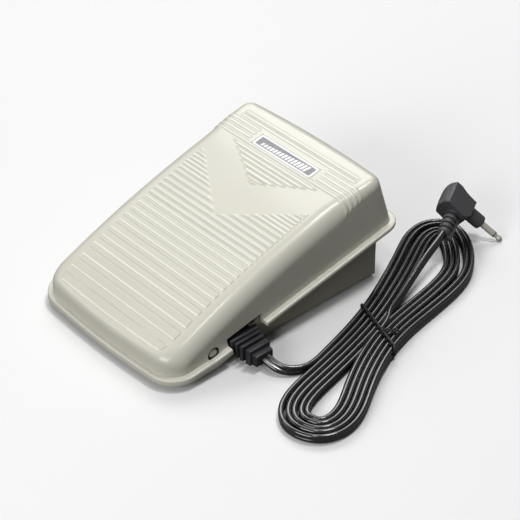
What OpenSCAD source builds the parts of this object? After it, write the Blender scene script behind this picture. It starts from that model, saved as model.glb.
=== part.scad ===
// Foot speed control for a sewing machine: a hinged pedal cover over a base
// tray, with a sector rack that turns a potentiometer, a return spring, and a
// bundled low-voltage cord that ends in a right-angle jack plug.
// Origin: on the floor, at the centre of the four feet.
// +Z up, +Y towards the raised rear end of the pedal, +X towards the cord side.

/* [Cover] */
// Half width of the flange round the cover
flange_half_w = 55; // [54:0.5:56]
// Thickness of the moulded walls
wall = 2.2; // [2:0.1:2.4]
// Radius of the long side edges of the pedal surface
edge_r = 9.5; // [9:0.1:10]
// Tilt of the flange behind the hinge, in degrees
flange_tilt = 11.44; // [11.2:0.05:11.6]

/* [Base] */
// Half width of the base tray
base_half_w = 48.6; // [48:0.1:48.8]
// Rear face of the base tray
base_rear = 68.3; // [67:0.1:69]
// Spacing of the feet along the pedal
foot_dy = 124; // [120:1:126]
// Spacing of the feet across the pedal
foot_dx = 76; // [70:1:80]
// Radius of one rubber foot
foot_r = 6; // [5:0.5:7]

/* [Hinge and drive] */
// Height of the hinge axis
hinge_z = 11.2; // [11:0.1:11.4]
// Hinge axis position along the pedal
hinge_y = -46; // [-46.5:0.5:-45.5]
// Radius of the hinge pins
pin_r = 2.45; // [2.4:0.01:2.45]
// Gear module of the rack and pinion
gear_module = 0.8; // [0.8:0.1:0.8]
// Teeth on the full circle of the sector rack
sector_teeth = 192; // [192:1:192]
// Teeth on the pinion
pinion_teeth = 12; // [12:1:12]

/* [Cord and plug] */
// Thickness of the flat twin cord
cord_w = 2.8; // [2.4:0.1:2.8]
// Height of the flat twin cord
cord_h = 5.6; // [5:0.1:5.6]
// Spacing of neighbouring strands in the bundle
lane = 3.0; // [3:0.02:3.1]
// Number of turns in the bundle
turns = 5; // [4:1:5]
// Radius of the jack sleeve
jack_r = 1.75; // [1.75:0.01:1.75]

/* [Hidden] */
$fn = 48;

// places shared by several pieces
spring_y = 52;
rear_bumper = [30, 60];               // [x, y], repeated at -x
front_bumper = [25, -58];             // [x, y], repeated at -x
bumper_r = 4.5;
sector_screw_at = [[13, 40], [24, 46]]; // [y, z]
bracket_screw_x = 9;
bracket_screw_ys = [28, 38.5];
board_screw_at = [[12, -16], [12, 16], [38, 16]]; // [x, y]
clamp_screw_x = 36;
clamp_screw_ys = [-33, -18];
relief_y = -26;
pin_hole_r = pin_r + 0.05;
screw_color = [0.75, 0.75, 0.77];

// ---------- shared shapes ----------
// a Y-Z drawing extruded from x0 to x1
module side_plate(x0, x1) {
  translate([x0, 0, 0]) rotate([90, 0, 90]) linear_extrude(x1 - x0) children();
}
// a Y-Z outline extruded past both sides of the pedal
module full_width(outline) { side_plate(-60, 60) polygon(outline); }
// x0 and x1 may come in either order
module rod_x(x0, x1, r, y, z) {
  translate([min(x0, x1), y, z]) rotate([0, 90, 0]) cylinder(r = r, h = abs(x1 - x0));
}
module rod_z(x, y, z0, z1, r) { translate([x, y, z0]) cylinder(r = r, h = z1 - z0); }
module block(x0, x1, y0, y1, z0, z1) {
  translate([min(x0, x1), y0, z0]) cube([abs(x1 - x0), y1 - y0, z1 - z0]);
}
// a solid of revolution; outline points are [radius, height]
module turned(outline) { rotate_extrude() polygon(outline); }

module cross_slot(length, z, depth) {
  for (a = [0, 90]) rotate([0, 0, a]) translate([-length / 2, -0.3, z]) cube([length, 0.6, depth]);
}
// pan head seated at x, thread towards +x
module screw_x(x, y, z) {
  translate([x, y, z]) rotate([0, 90, 0]) difference() {
    turned([[0, -2], [1.9, -2], [2.7, -1.2], [2.7, 0], [1.2, 0], [1.2, 6], [0.8, 6.6], [0, 6.6]]);
    cross_slot(length = 3.2, z = -2.1, depth = 0.9);
  }
}
// pan head standing on z, thread downwards
module screw_z(x, y, z, r, length) {
  translate([x, y, z]) difference() {
    turned([[0, 2], [r * 1.45, 2], [r * 2.1, 1.1], [r * 2.1, 0], [r, 0], [r, -length],
      [0, -length - 0.5]]);
    cross_slot(length = r * 2.4, z = 1.2, depth = 1);
  }
}

// ---------- curves and tubes ----------
function unit(v) = v / norm(v);
function reversed(list) = [for (i = [len(list) - 1:-1:0]) list[i]];
// Catmull-Rom point between b and c
function spline(a, b, c, d, t) = 0.5 * ((2 * b) + (c - a) * t + (2 * a - 5 * b + 4 * c - d) * t * t
  + (3 * b - a - 3 * c + d) * t * t * t);
// smooth path through the points, with the given steps between neighbours
function curve(points, steps) = let (last = len(points) - 1) concat(
  [for (i = [0:last - 1], k = [0:steps - 1])
    spline(points[max(0, i - 1)], points[i], points[i + 1], points[min(last, i + 2)], k / steps)],
  [points[last]]);
function heading(path, i) = path[min(len(path) - 1, i + 1)] - path[max(0, i - 1)];
// capped skin over rings of m points each
function tube_faces(rings, m) = concat(
  [[for (k = [m - 1:-1:0]) k]],
  [[for (k = [0:m - 1]) (rings - 1) * m + k]],
  [for (i = [0:rings - 2], k = [0:m - 1]) [i * m + k, i * m + (k + 1) % m, (i + 1) * m + (k + 1) % m]],
  [for (i = [0:rings - 2], k = [0:m - 1]) [i * m + k, (i + 1) * m + (k + 1) % m, (i + 1) * m + k]]);
// a round wire of radius r through the points
module wire(points, r) {
  path = curve(points, 5);
  sides = 8;
  skin = [for (i = [0:len(path) - 1])
    let (along = unit(heading(path, i)), u = unit(cross(along, [1, 0, 0])), v = cross(along, u))
    for (k = [0:sides - 1]) path[i] + r * (cos(360 * k / sides) * u - sin(360 * k / sides) * v)];
  polyhedron(skin, tube_faces(len(path), sides), convexity = 6);
}

// ---------- cover ----------
// height and slope of the pedal surface
function surface_z(y) = 47.25 + 0.3237 * y - 0.001185 * y * y;
function surface_slope(y) = atan(0.3237 - 0.00237 * y);
module on_surface(y) { translate([0, y, surface_z(y)]) rotate([surface_slope(y), 0, 0]) children(); }

flange_z = 18.53;   // upper face of the tilted flange at y = 0
flange_t = 2.65;
// upper face of the flange: near level ahead of y = -48, tilted behind it
function flange_top(y) = y < -48 ? 8.9 + 0.012 * (y + 48) : flange_z + tan(flange_tilt) * y;
// underside of the flange, [y, z]
flange_under = [[-90, 4.7], [-46, 4.7], [-14, 13.05], [90, flange_top(90) - flange_t]];

function corner(x, y, r, start, steps) = [for (i = [0:steps])
  [x + r * cos(start + 90 * i / steps), y + r * sin(start + 90 * i / steps)]];
// plan outline with rounded corners and gently bowed front and rear ends
function bowed_outline(half_w, front, rear, front_r, rear_r, front_bow, rear_bow) = [
  for (p = concat(
    corner(half_w - rear_r, rear - rear_r, rear_r, 0, 5),
    [for (i = [1:7]) [(half_w - rear_r) * (1 - i / 4), rear]],
    corner(-half_w + rear_r, rear - rear_r, rear_r, 90, 5),
    corner(-half_w + front_r, front + front_r, front_r, 180, 6),
    [for (i = [1:7]) [-(half_w - front_r) * (1 - i / 4), front]],
    corner(half_w - front_r, front + front_r, front_r, 270, 6)))
  let (bow = p[1] < -40 ? -front_bow : p[1] > 40 ? rear_bow : 0)
  [p[0], p[1] + bow * (1 - p[0] * p[0] / (half_w * half_w))]];

module ball(x, y, z, r, facets) { translate([x, y, z]) sphere(r = r, $fn = facets); }
// balls under the pedal surface, shrunk by inset
module crown(inset, facets) {
  for (y = [-58, -44, -28, -10, 9, 28, 46, 58], s = [-1, 1])
    ball(s * (51 - edge_r), y + edge_r * sin(surface_slope(y)),
      surface_z(y) - edge_r * cos(surface_slope(y)), edge_r - inset, facets);
  for (s = [-1, 0, 1]) {
    ball(s * 46.4, 66.2 - 3 * abs(s), 58.9 - 0.5 * abs(s), 4.5 - inset, facets);
    ball(s * 44, -68 + 2.8 * abs(s), 11.9 + 1.45 * abs(s), 7 - inset, facets);
  }
}
// crown hulled down to a thin sheet at the flange underside, lowered by drop
module shell_form(inset, drop, facets) {
  hull() {
    crown(inset, facets);
    translate([0, 0, flange_z - flange_t - drop]) rotate([flange_tilt, 0, 0]) linear_extrude(0.02)
      polygon(bowed_outline(51.9 - inset, -74.6 + inset, 79.5 - inset - drop * 0.15,
        12 - inset, 5 - inset, 2.7, 2.6));
  }
}
module cover_skin() {
  difference() {
    union() {
      intersection() {
        shell_form(inset = 0, drop = 0, facets = 28);
        full_width(concat([[90, 90], [-90, 90]], flange_under));
      }
      intersection() {
        translate([0, 0, 1]) linear_extrude(60)
          polygon(bowed_outline(flange_half_w, -76, 78.6, 15, 7, 2.75, 2.6));
        full_width(concat([for (y = [90, -48, -90]) [y, flange_top(y)]], flange_under));
      }
    }
    shell_form(inset = wall, drop = 9, facets = 24);
  }
}
// bosses and rib under the skin, ending inside it
module cover_bosses() {
  intersection() {
    full_width(concat([[64, 0], [-72, 0]], [for (y = [-72:8:64]) [y, surface_z(y) - 1]]));
    union() {
      // stop posts over the rear bumpers, and pads over the front bumpers
      for (s = [-1, 1]) {
        rod_z(s * rear_bumper[0], 56, 33.78, 70, 3.5);
        rod_z(s * front_bumper[0], front_bumper[1], 18.0, 40, 4);
      }
      // spring seat with its centring peg
      rod_z(0, spring_y, 44.2, 70, 8.3);
      rod_z(0, spring_y, 37.5, 45, 4.4);
      // rib that carries the sector rack, cut back round the pinion's path
      side_plate(-9.9, -7.2)
        polygon([[8, 36], [20, 36], [23.5, 40], [27, 45.3], [28.5, 48], [28.5, 66], [8, 66]]);
    }
  }
}
// opening in the flange for the strain relief
module cord_notch() {
  width = 23.4;
  height = 22;
  translate([40, -26.2, 18.1]) rotate([flange_tilt, 0, 0])
    translate([0, -width / 2, -height]) cube([20, width, height]);
}

plate_y = 46.4;
plate_w = 44;
plate_d = 8;
plate_gap = 0.3; // gap round the nameplate in its pocket

module top_cover() {
  color([0.86, 0.85, 0.79]) difference() {
    union() {
      cover_skin();
      // hinge eyes
      for (s = [-1, 1]) rod_x(s * 49.05, s * 51.3, 5.2, hinge_y, hinge_z);
      cover_bosses();
    }
    full_width(concat([[90, -10], [-90, -10]], flange_under));
    cord_notch();
    for (s = [-1, 1]) {
      rod_x(s * 45, s * 52, pin_hole_r, hinge_y, hinge_z);
      rod_x(s * 51.0, s * 52, 3.3, hinge_y, hinge_z);
    }
    for (p = sector_screw_at) rod_x(-12, -5, 1.3, p[0], p[1]);
    // shallow pocket for the nameplate
    on_surface(plate_y) translate([-plate_w / 2 - plate_gap, -plate_d / 2 - plate_gap, -0.8])
      cube([plate_w + 2 * plate_gap, plate_d + 2 * plate_gap, 4]);
  }
}
module nameplate() {
  color([0.93, 0.93, 0.93]) on_surface(plate_y)
    translate([-plate_w / 2, -plate_d / 2, -0.78]) cube([plate_w, plate_d, 0.9]);
}

// ---------- base ----------
tray_bottom = 2.2;
tray_floor = 4.4;
tray_wall = 2;
tray_front = -69.5;
boss_z = 4; // bosses start inside the floor

// rectangle with separate front and rear corner radii
module rounded_plan(half_w, front, rear, front_r, rear_r) {
  translate([-half_w, front + front_r]) square([2 * half_w, rear - rear_r - front - front_r]);
  translate([-half_w + front_r, front]) square([2 * (half_w - front_r), 2 * front_r]);
  translate([-half_w + rear_r, rear - 2 * rear_r]) square([2 * (half_w - rear_r), 2 * rear_r]);
  for (s = [-1, 1]) {
    translate([s * (half_w - front_r), front + front_r]) circle(front_r);
    translate([s * (half_w - rear_r), rear - rear_r]) circle(rear_r);
  }
}
// everything that stands up from the tray floor
module tray_bosses() {
  // hinge blocks and bumper seats
  for (s = [-1, 1]) {
    rod_x(s * 41.5, s * 47, 5.2, hinge_y, hinge_z);
    block(s * 41.5, s * 47, hinge_y - 5.2, hinge_y + 5.2, boss_z, hinge_z);
    rod_z(s * rear_bumper[0], rear_bumper[1], boss_z, 12, bumper_r);
    rod_z(s * front_bumper[0], front_bumper[1], boss_z, 14, bumper_r);
  }
  // spring seat and peg
  rod_z(0, spring_y, boss_z, 7.9, 9.5);
  rod_z(0, spring_y, boss_z, 15, 4.4);
  // screw bosses
  for (y = bracket_screw_ys) rod_z(bracket_screw_x, y, boss_z, 6.4, 3.5);
  for (p = board_screw_at) rod_z(p[0], p[1], boss_z, 8.4, 3);
  for (y = clamp_screw_ys) rod_z(clamp_screw_x, y, boss_z, 8, 3);
  // stiffening ribs
  block(-47, 47, base_rear - 20, base_rear - 18.5, boss_z, 6.2);
  block(-40, -38.4, -60, 60, boss_z, 6.8);
}
module base_tray() {
  hole_z = 3.2; // bottom of the blind screw holes
  color([0.80, 0.79, 0.72]) difference() {
    intersection() {
      translate([0, 0, tray_bottom]) linear_extrude(40)
        rounded_plan(base_half_w, tray_front, base_rear, 8, 1.5);
      full_width([[-80, 0], [80, 0], [80, 34.4], [70, 32.8], [-46, 14.6], [-60, 9.6], [-80, 9.6]]);
    }
    difference() {
      translate([0, 0, tray_floor]) linear_extrude(40)
        rounded_plan(base_half_w - tray_wall, tray_front + tray_wall, base_rear - tray_wall, 6, 0.8);
      tray_bosses();
    }
    for (s = [-1, 1]) {
      rod_x(s * 40, s * 50, pin_hole_r, hinge_y, hinge_z);
      for (t = [-1, 1]) rod_z(s * foot_dx / 2, t * foot_dy / 2, 0, 4.1, 2.0);
    }
    for (y = bracket_screw_ys) rod_z(bracket_screw_x, y, hole_z, 9, 1.3);
    for (p = board_screw_at) rod_z(p[0], p[1], hole_z, 9, 1.1);
    for (y = clamp_screw_ys) rod_z(clamp_screw_x, y, hole_z, 9, 1.1);
    // slot that holds the cord strain relief, with a wider mouth above it
    block(46, 50, relief_y - 6.6, relief_y + 6.6, tray_floor, 30);
    block(46, 50, -36.6, -15.2, 12.8, 30);
  }
}
module rubber_feet() {
  peg_r = 1.95;
  color([0.12, 0.12, 0.12]) for (s = [-1, 1], t = [-1, 1])
    translate([s * foot_dx / 2, t * foot_dy / 2, 0])
      turned([[0, 0], [foot_r - 0.6, 0], [foot_r, 0.6], [foot_r, tray_bottom],
        [peg_r, tray_bottom], [peg_r, 4.0], [0, 4.0]]);
}
module hinge_pins() {
  color([0.75, 0.75, 0.76]) for (s = [-1, 1]) mirror([s > 0 ? 0 : 1, 0, 0])
    translate([0, hinge_y, hinge_z]) rotate([0, 90, 0])
      turned([[0, 40], [3.6, 40], [3.6, 41.4], [pin_r, 41.4], [pin_r, 51.0],
        [pin_r - 0.4, 51.4], [0, 51.4]]);
}

// ---------- spring and stops ----------
spring_bottom = 8.0;
spring_top = 43.0;
spring_r = 6.3;       // to the middle of the wire
spring_wire_r = 0.75;
spring_coils = 8;
end_part = 0.12;      // share of the coils that closes up at each end
end_pitch = 0.35;     // pitch there, against the mean pitch
end_rise = end_pitch * end_part;
// share of the height reached after share u of the coils
function spring_rise(u) = u < end_part ? end_pitch * u
  : u > 1 - end_part ? 1 - end_pitch * (1 - u)
  : end_rise + (u - end_part) * (1 - 2 * end_rise) / (1 - 2 * end_part);
module return_spring() {
  steps = spring_coils * 16;
  sides = 6;
  height = spring_top - spring_bottom - 2 * spring_wire_r;
  skin = [for (i = [0:steps])
    let (u = i / steps, turn = 360 * spring_coils * u,
      z = spring_bottom + spring_wire_r + height * spring_rise(u))
    for (k = [0:sides - 1]) let (b = 360 / sides * k, r = spring_r + spring_wire_r * cos(b))
      [r * cos(turn), r * sin(turn), z + spring_wire_r * sin(b)]];
  // these rings run the other way round, so the faces are turned over
  faces = [for (face = tube_faces(steps + 1, sides)) reversed(face)];
  color([0.7, 0.7, 0.72]) translate([0, spring_y, 0]) polyhedron(skin, faces, convexity = 10);
}
module spring_cup() {
  color([0.72, 0.72, 0.74]) translate([0, spring_y, 0])
    turned([[4.6, 43.1], [8.2, 43.1], [8.2, 41.2], [8.8, 41.2], [8.8, 44.1], [4.6, 44.1]]);
}
module travel_bumpers() {
  color([0.1, 0.1, 0.1]) for (s = [-1, 1]) {
    translate([s * rear_bumper[0], rear_bumper[1], 0])
      turned([[0, 12.05], [bumper_r, 12.05], [bumper_r, 14.2], [3.7, 15.0], [0, 15.0]]);
    translate([s * front_bumper[0], front_bumper[1], 0])
      turned([[0, 14.05], [bumper_r, 14.05], [bumper_r, 17.2], [3.8, 17.9], [0, 17.9]]);
  }
}

// ---------- rack and pinion ----------
pressure_angle = 20;
sector_r = gear_module * sector_teeth / 2;
pinion_r = gear_module * pinion_teeth / 2;
mesh_angle = 10; // direction from the hinge to the pinion
gear_distance = sector_r + pinion_r + 0.08;
pot_y = hinge_y + gear_distance * cos(mesh_angle);
pot_z = hinge_z + gear_distance * sin(mesh_angle);
module pot_rod(x0, x1, r) { rod_x(x0, x1, r, pot_y, pot_z); }

// involute function, in degrees
function involute(a) = tan(a) * 180 / PI - a;
// half the angle a tooth fills at radius r, thinned a little for backlash
function half_tooth(teeth, r, base_r, thin) = 90 / teeth + involute(pressure_angle)
  - involute(r > base_r ? acos(base_r / r) : 0) - thin;
// one tooth centred on angle a, as [radius, angle] points
function tooth(teeth, a, root, tip, thin) =
  let (base_r = gear_module * teeth / 2 * cos(pressure_angle), low = max(base_r, root),
    flank = [for (i = [0:4]) low + (tip - low) * i / 4],
    half = [for (r = flank) half_tooth(teeth, r, base_r, thin)])
  concat([[root, a - half[0]]], [for (i = [0:4]) [flank[i], a - half[i]]],
    [for (i = [4:-1:0]) [flank[i], a + half[i]]], [[root, a + half[0]]]);
function from_polar(points) = [for (p = points) [p[0] * cos(p[1]), p[0] * sin(p[1])]];

module sector_rack() {
  pitch = 360 / sector_teeth;
  start = mesh_angle - pitch;
  cut_teeth = 8;
  root = sector_r - 0.95;
  teeth = [for (i = [0:cut_teeth - 1])
    each tooth(sector_teeth, start + i * pitch, root, sector_r + 0.5, 0.02)];
  outline = concat([[70.5, start - 0.9], [root, start - 0.9]], teeth,
    [[root, start + cut_teeth * pitch], [75, 27], [66, 30], [66, 19]]);
  color([0.9, 0.88, 0.82]) difference() {
    union() {
      side_plate(-14, -10.02) translate([hinge_y, hinge_z]) polygon(from_polar(outline));
      side_plate(-14, -10.02) polygon([[9, 36.5], [20, 36.5], [23.5, 40], [27, 45.3],
        [28.2, 48], [28.2, 49], [18, 48.6], [9, 45.4]]);
    }
    for (p = sector_screw_at) rod_x(-20, -5, 1.6, p[0], p[1]);
  }
}
module sector_screws() {
  color(screw_color) for (p = sector_screw_at) screw_x(-14.05, p[0], p[1]);
}
module drive_pinion() {
  // a gap between teeth faces the sector
  start = mesh_angle + 180 + 180 / pinion_teeth;
  teeth = [for (i = [0:pinion_teeth - 1])
    each tooth(pinion_teeth, start + i * 360 / pinion_teeth, pinion_r - 1.0, pinion_r + 0.78, 0.45)];
  color([0.92, 0.9, 0.84]) difference() {
    union() {
      side_plate(-14.6, -9.6) translate([pot_y, pot_z]) polygon(from_polar(teeth));
      pot_rod(-9.61, -8.4, 3.3);
    }
    pot_rod(-20, -5, 1.57);
  }
}

// ---------- potentiometer ----------
shaft_clear_r = 1.63;
module pot_shaft() { color([0.8, 0.8, 0.8]) pot_rod(-15.4, 5.0, 1.55); }
module pot_bracket() {
  front = 24;
  rear = 42.2;
  foot_z = 6.45;
  color([0.78, 0.78, 0.8]) difference() {
    union() {
      side_plate(-3, -1.5) polygon([[front, foot_z], [rear, foot_z], [rear, 24], [40, 34],
        [28, 34], [front, 22]]);
      block(-1.6, 14, front, rear, foot_z, foot_z + 1.5);
    }
    pot_rod(-6, 0, 3.6);
    for (y = bracket_screw_ys) rod_z(bracket_screw_x, y, 5, 9, 1.65);
  }
}
module bracket_screws() {
  color(screw_color) for (y = bracket_screw_ys) screw_z(bracket_screw_x, y, 8.0, r = 1.25, length = 4.2);
}
module pot_housing() {
  color([0.25, 0.3, 0.35]) difference() {
    union() {
      pot_rod(-1.45, 7.5, 8.25);
      block(1.2, 5.2, pot_y - 6, pot_y + 6, pot_z - 9.6, pot_z - 5);
    }
    pot_rod(-3, 5.1, shaft_clear_r);
  }
}
module pot_bushing() {
  color([0.8, 0.72, 0.45]) difference() {
    pot_rod(-7.6, -1.5, 3.5);
    pot_rod(-9, 0, shaft_clear_r);
  }
}
module pot_washer() {
  color([0.75, 0.75, 0.76]) difference() {
    pot_rod(-3.65, -3.05, 6);
    pot_rod(-5, 0, 3.6);
  }
}
module pot_nut() {
  color([0.78, 0.78, 0.8]) difference() {
    translate([-5.7, pot_y, pot_z]) rotate([0, 90, 0]) cylinder(r = 5.77, h = 2, $fn = 6);
    pot_rod(-8, 0, 3.55);
  }
}
terminal_pitch = 4;
module pot_terminals() {
  color([0.8, 0.8, 0.78]) for (k = [-1, 0, 1]) let (y = pot_y + terminal_pitch * k) difference() {
    block(2.9, 3.5, y - 1, y + 1, pot_z - 14.2, pot_z - 9.65);
    rod_x(1, 6, 0.5, y, pot_z - 13);
  }
}

// ---------- electronics ----------
board_top = 10.05;
part_z = board_top + 0.05; // seat of the parts on the board
module circuit_board() {
  color([0.14, 0.4, 0.22]) difference() {
    block(8, 42, -20, 20, board_top - 1.6, board_top);
    for (p = board_screw_at) rod_z(p[0], p[1], 8, 11, 1.5);
    // room for the cord clamp
    block(31.5, 45, -25, -13.2, 8, 11);
  }
}
module board_screws() {
  color(screw_color) for (p = board_screw_at) screw_z(p[0], p[1], part_z, r = 1.05, length = 5);
}
module capacitor() {
  color([0.15, 0.2, 0.35]) translate([20, 8, 0])
    turned([[0, part_z], [5, part_z], [5, 11.2], [4.7, 11.7], [5, 12.2], [5, 22.5], [4.6, 23],
      [4, 23], [4, 22.7], [0, 22.7]]);
}
module resistors() {
  color([0.75, 0.62, 0.45]) for (k = [0:2]) translate([29 + 4 * k, 8, 11.6]) rotate([90, 0, 0]) {
    turned([[0, -3.4], [1.1, -3.4], [1.25, -3.1], [1.25, -2], [1.0, -1.6], [1.0, 1.6],
      [1.25, 2], [1.25, 3.1], [1.1, 3.4], [0, 3.4]]);
    cylinder(r = 0.3, h = 10, center = true);
  }
}
module terminal_block() {
  color([0.2, 0.45, 0.3]) difference() {
    union() {
      block(16, 24, -14, -2, part_z, 17);
      block(17.5, 22.5, -14, -2, 16.9, 20);
    }
    for (y = [-11, -5]) {
      rod_z(20, y, 14, 21, 1.7);
      block(22, 25, y - 1.6, y + 1.6, 11.6, 14.8);
    }
  }
}
module lead_wires() {
  color([0.7, 0.1, 0.1]) for (k = [0, 1]) {
    outer_y = pot_y + terminal_pitch * (2 * k - 1);
    // cord to terminal block
    wire([[30.6, -25.8 + 1.8 * k, 7.6], [28.6, -25.6 + 2.4 * k, 9.6], [27, -18 + 4 * k, 13.2],
      [23.4, -11 + 6 * k, 13.2]], 0.65);
    // outer potentiometer terminals to circuit board
    wire([[3.2, outer_y, pot_z - 13.6], [3.4 - 2 * k, outer_y - 3, pot_z - 15.3],
      [4.6 - 3.6 * k, 18.6 + 2 * k, 10.2], [9.5 - 3 * k, 11 - 6 * k, 12.4],
      [12.5, 3 - 3 * k, 9.6]], 0.6);
  }
}

// ---------- cord anchorage ----------
module cord_clamp() {
  color([0.15, 0.15, 0.15]) difference() {
    union() {
      block(33, 39, -36, -15, 8.1, 12.2);
      block(33, 39, -30.6, -20.6, 8.1, 13.6);
    }
    block(32, 40, relief_y - 0.6, relief_y + 2.8, 7, 11.2);
    for (y = clamp_screw_ys) rod_z(clamp_screw_x, y, 7, 14, 1.5);
  }
}
module clamp_screws() {
  color(screw_color) for (y = clamp_screw_ys) screw_z(clamp_screw_x, y, 12.25, r = 1.05, length = 6.5);
}
// blocks centred on the cord line: [x0, x1, half width, z0, z1]
relief_blocks = [
  [45.8, 48.9, 6.4, 4.5, 12.6], [48.8, 52.4, 9.4, 4.2, 13.4],
  [53.2, 54.9, 8.0, 3.2, 12.4], [56.4, 58.3, 7.5, 3.2, 12.4], [60.2, 65.2, 6.8, 3.2, 12.4],
  [52.3, 60.3, 6.2, 3.8, 11.4], [65.1, 67, 4.6, 3.4, 10.6]];
module strain_relief() {
  color([0.1, 0.1, 0.11]) {
    // flange inside the tray wall
    block(43.6, 45.9, -36.8, -15, 4.5, 16.4);
    for (b = relief_blocks) block(b[0], b[1], relief_y - b[2], relief_y + b[2], b[3], b[4]);
  }
}

// ---------- cord ----------
// outer turn of the bundle, [x, y] seen from above
loop = [[70, 39], [60, 59], [47.8, 84], [37.6, 99], [34.2, 114], [39, 125], [49, 129.4],
  [62.2, 125.3], [75.6, 114.6], [85.9, 102.5], [91.1, 84.2], [94.3, 64.1], [97.3, 45.6],
  [102.4, 28], [111.4, 9.8], [119.5, -3.2], [126.5, -13.2], [132, -27], [130.5, -40],
  [123, -48.6], [113, -52], [103.5, -51], [94, -44.5], [87.5, -31.8], [84.3, -16.3],
  [80.9, -1], [76, 19]];
loop_n = len(loop);
tie_at = [0, 13]; // loop points where the tie crosses
cord_z = cord_h / 2 + 0.05;
// centre line from the clamp to the bundle, and from the bundle to the plug
cord_start = [[30, -24.9, 7.7], [40, -24.9, 7.7], [50, -24.9, 7.7], [60, -25, 7.5],
  [67, -25.2, 6.6], [73, -24.6, 4.6], [78.5, -21.4, 3.1], [82.2, -15, cord_z], [82.7, -8, cord_z]];
cord_end = [[80.2, 44.5, 4.6], [77.6, 54.5, 6.2], [74.0, 65.5, 8.8], [70.4, 77, 12.2],
  [67.0, 88.5, 15], [64.0, 98.5, 16.5], [61.4, 105, 17.4]];

// unit vector into the loop at point i
function inward(i) =
  let (along = unit(loop[(i + 1) % loop_n] - loop[(i - 1 + loop_n) % loop_n])) [along[1], -along[0]];
// the cord rises where it passes over the tie
function tie_lift(i) =
  max(0, 1.35 - 0.62 * min([for (t = tie_at) min(abs(i - t), loop_n - abs(i - t))]));
// point k of the inward spiral
function spiral_point(k) =
  let (i = (k + loop_n) % loop_n, p = loop[i] + inward(i) * lane * max(k, 0) / loop_n)
  [p[0], p[1], cord_z + tie_lift(i)];
// cord section, in half widths and half heights
cord_section = [[1, -0.5], [1, 0.5], [0.55, 1], [-0.55, 1], [-1, 0.5], [-1, -0.5],
  [-0.55, -1], [0.55, -1]];
module power_cord() {
  path = curve(concat(cord_start, [for (k = [-2:turns * loop_n]) spiral_point(k)], cord_end), 2);
  skin = [for (i = [0:len(path) - 1])
    let (h = heading(path, i), along = unit([h[0], h[1]]), across = [along[1], -along[0]])
    for (q = cord_section) path[i] + [across[0] * q[0] * cord_w / 2,
      across[1] * q[0] * cord_w / 2, q[1] * cord_h / 2]];
  color([0.07, 0.07, 0.08])
    polyhedron(skin, tube_faces(len(path), len(cord_section)), convexity = 20);
}
module cord_tie() {
  across = loop[tie_at[1]] - loop[tie_at[0]];
  width = 1.2;
  color([0.05, 0.05, 0.05]) translate([85.7, 33.7, 0]) rotate([0, 0, atan2(across[1], across[0])])
    translate([0, width / 2, 4.2]) rotate([90, 0, 0]) linear_extrude(width) difference() {
      square([40.9, 8.34], center = true);
      square([38.8, 6.6], center = true);
    }
}

// ---------- plug ----------
// plug frame: the jack points along +x, the boot along -y
boot_x = -17.2;
module at_plug() { translate([62.0, 133.5, 9.75]) rotate([10.2, 38, 33.5]) children(); }
module plug_body() {
  color([0.16, 0.16, 0.17]) at_plug() difference() {
    union() {
      intersection() {
        translate([0, 0, -6]) linear_extrude(12) polygon([[-27, 7], [-20.5, 7], [-18, 5.8],
          [-14, 4.5], [-9.4, 4.1], [-9.3, -4.2], [-10, -8.2], [-12.8, -10.8], [-27, -9.0]]);
        translate([-16, 0, 0]) rotate([90, 0, 0]) cylinder(r = 10.4, h = 40, center = true);
      }
      translate([-10, 0, 0]) rotate([0, 90, 0]) turned([[0, 0], [4, 0], [4, 9], [3.1, 10], [0, 10]]);
    }
    // stepped bore for the jack
    rod_x(-8, -0.95, 2.35, 0, 0);
    rod_x(-8, 4, 1.36, 0, 0);
    translate([boot_x, -3, 0]) rotate([90, 0, 0]) cylinder(r = 3.05, h = 12);
  }
}
module plug_boot() {
  color([0.14, 0.14, 0.15]) at_plug() translate([boot_x, 0, 0]) rotate([90, 0, 0]) {
    turned([[0, 6], [3, 6], [3, 11.1], [3.9, 11.1], [3.9, 13.6], [2.9, 13.9], [2.9, 14.6],
      [3.8, 14.9], [3.8, 17.2], [2.8, 17.5], [2.8, 18.2], [3.6, 18.5], [3.6, 20.8],
      [2.7, 21.1], [2.7, 21.8], [3.4, 22.1], [3.4, 26], [0, 26]]);
    // bar joining the ribs
    translate([2.2, -1.2, 11.1]) cube([2.6, 2.4, 14.9]);
  }
}

jack_back = -7.9;
// jack parts, turned about the plug's x axis
module jack_part(outline) { at_plug() rotate([0, 90, 0]) turned(outline); }
module jack_sleeve() {
  color([0.85, 0.85, 0.85]) jack_part([[1.1, jack_back], [2.3, jack_back], [2.3, -1.0],
    [1.32, -1.0], [1.32, 0.05], [jack_r, 0.05], [jack_r, 9.0], [1.1, 9.0]]);
}
module jack_insulator() {
  color([0.05, 0.05, 0.05]) jack_part([[0.62, jack_back], [1.06, jack_back], [1.06, 9.05],
    [jack_r, 9.05], [jack_r, 9.55], [0.62, 9.55]]);
}
module jack_ring() {
  color([0.8, 0.8, 0.8])
    jack_part([[0.62, 9.6], [jack_r, 9.6], [jack_r, 10.3], [1.1, 10.7], [0.62, 10.7]]);
}
module jack_tip() {
  color([0.85, 0.85, 0.85]) jack_part([[0, jack_back], [0.57, jack_back], [0.57, 10.75],
    [1.1, 10.75], [1.2, 11.6], [1.6, 12.7], [1.55, 13.2], [0.4, 15.0], [0, 15.0]]);
}

top_cover();
nameplate();
base_tray();
rubber_feet();
hinge_pins();
return_spring();
spring_cup();
travel_bumpers();
sector_rack();
sector_screws();
pot_bracket();
bracket_screws();
pot_housing();
pot_bushing();
pot_washer();
pot_nut();
pot_terminals();
pot_shaft();
drive_pinion();
circuit_board();
board_screws();
capacitor();
resistors();
terminal_block();
lead_wires();
cord_clamp();
clamp_screws();
strain_relief();
power_cord();
cord_tie();
plug_body();
plug_boot();
jack_insulator();
jack_sleeve();
jack_ring();
jack_tip();
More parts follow.
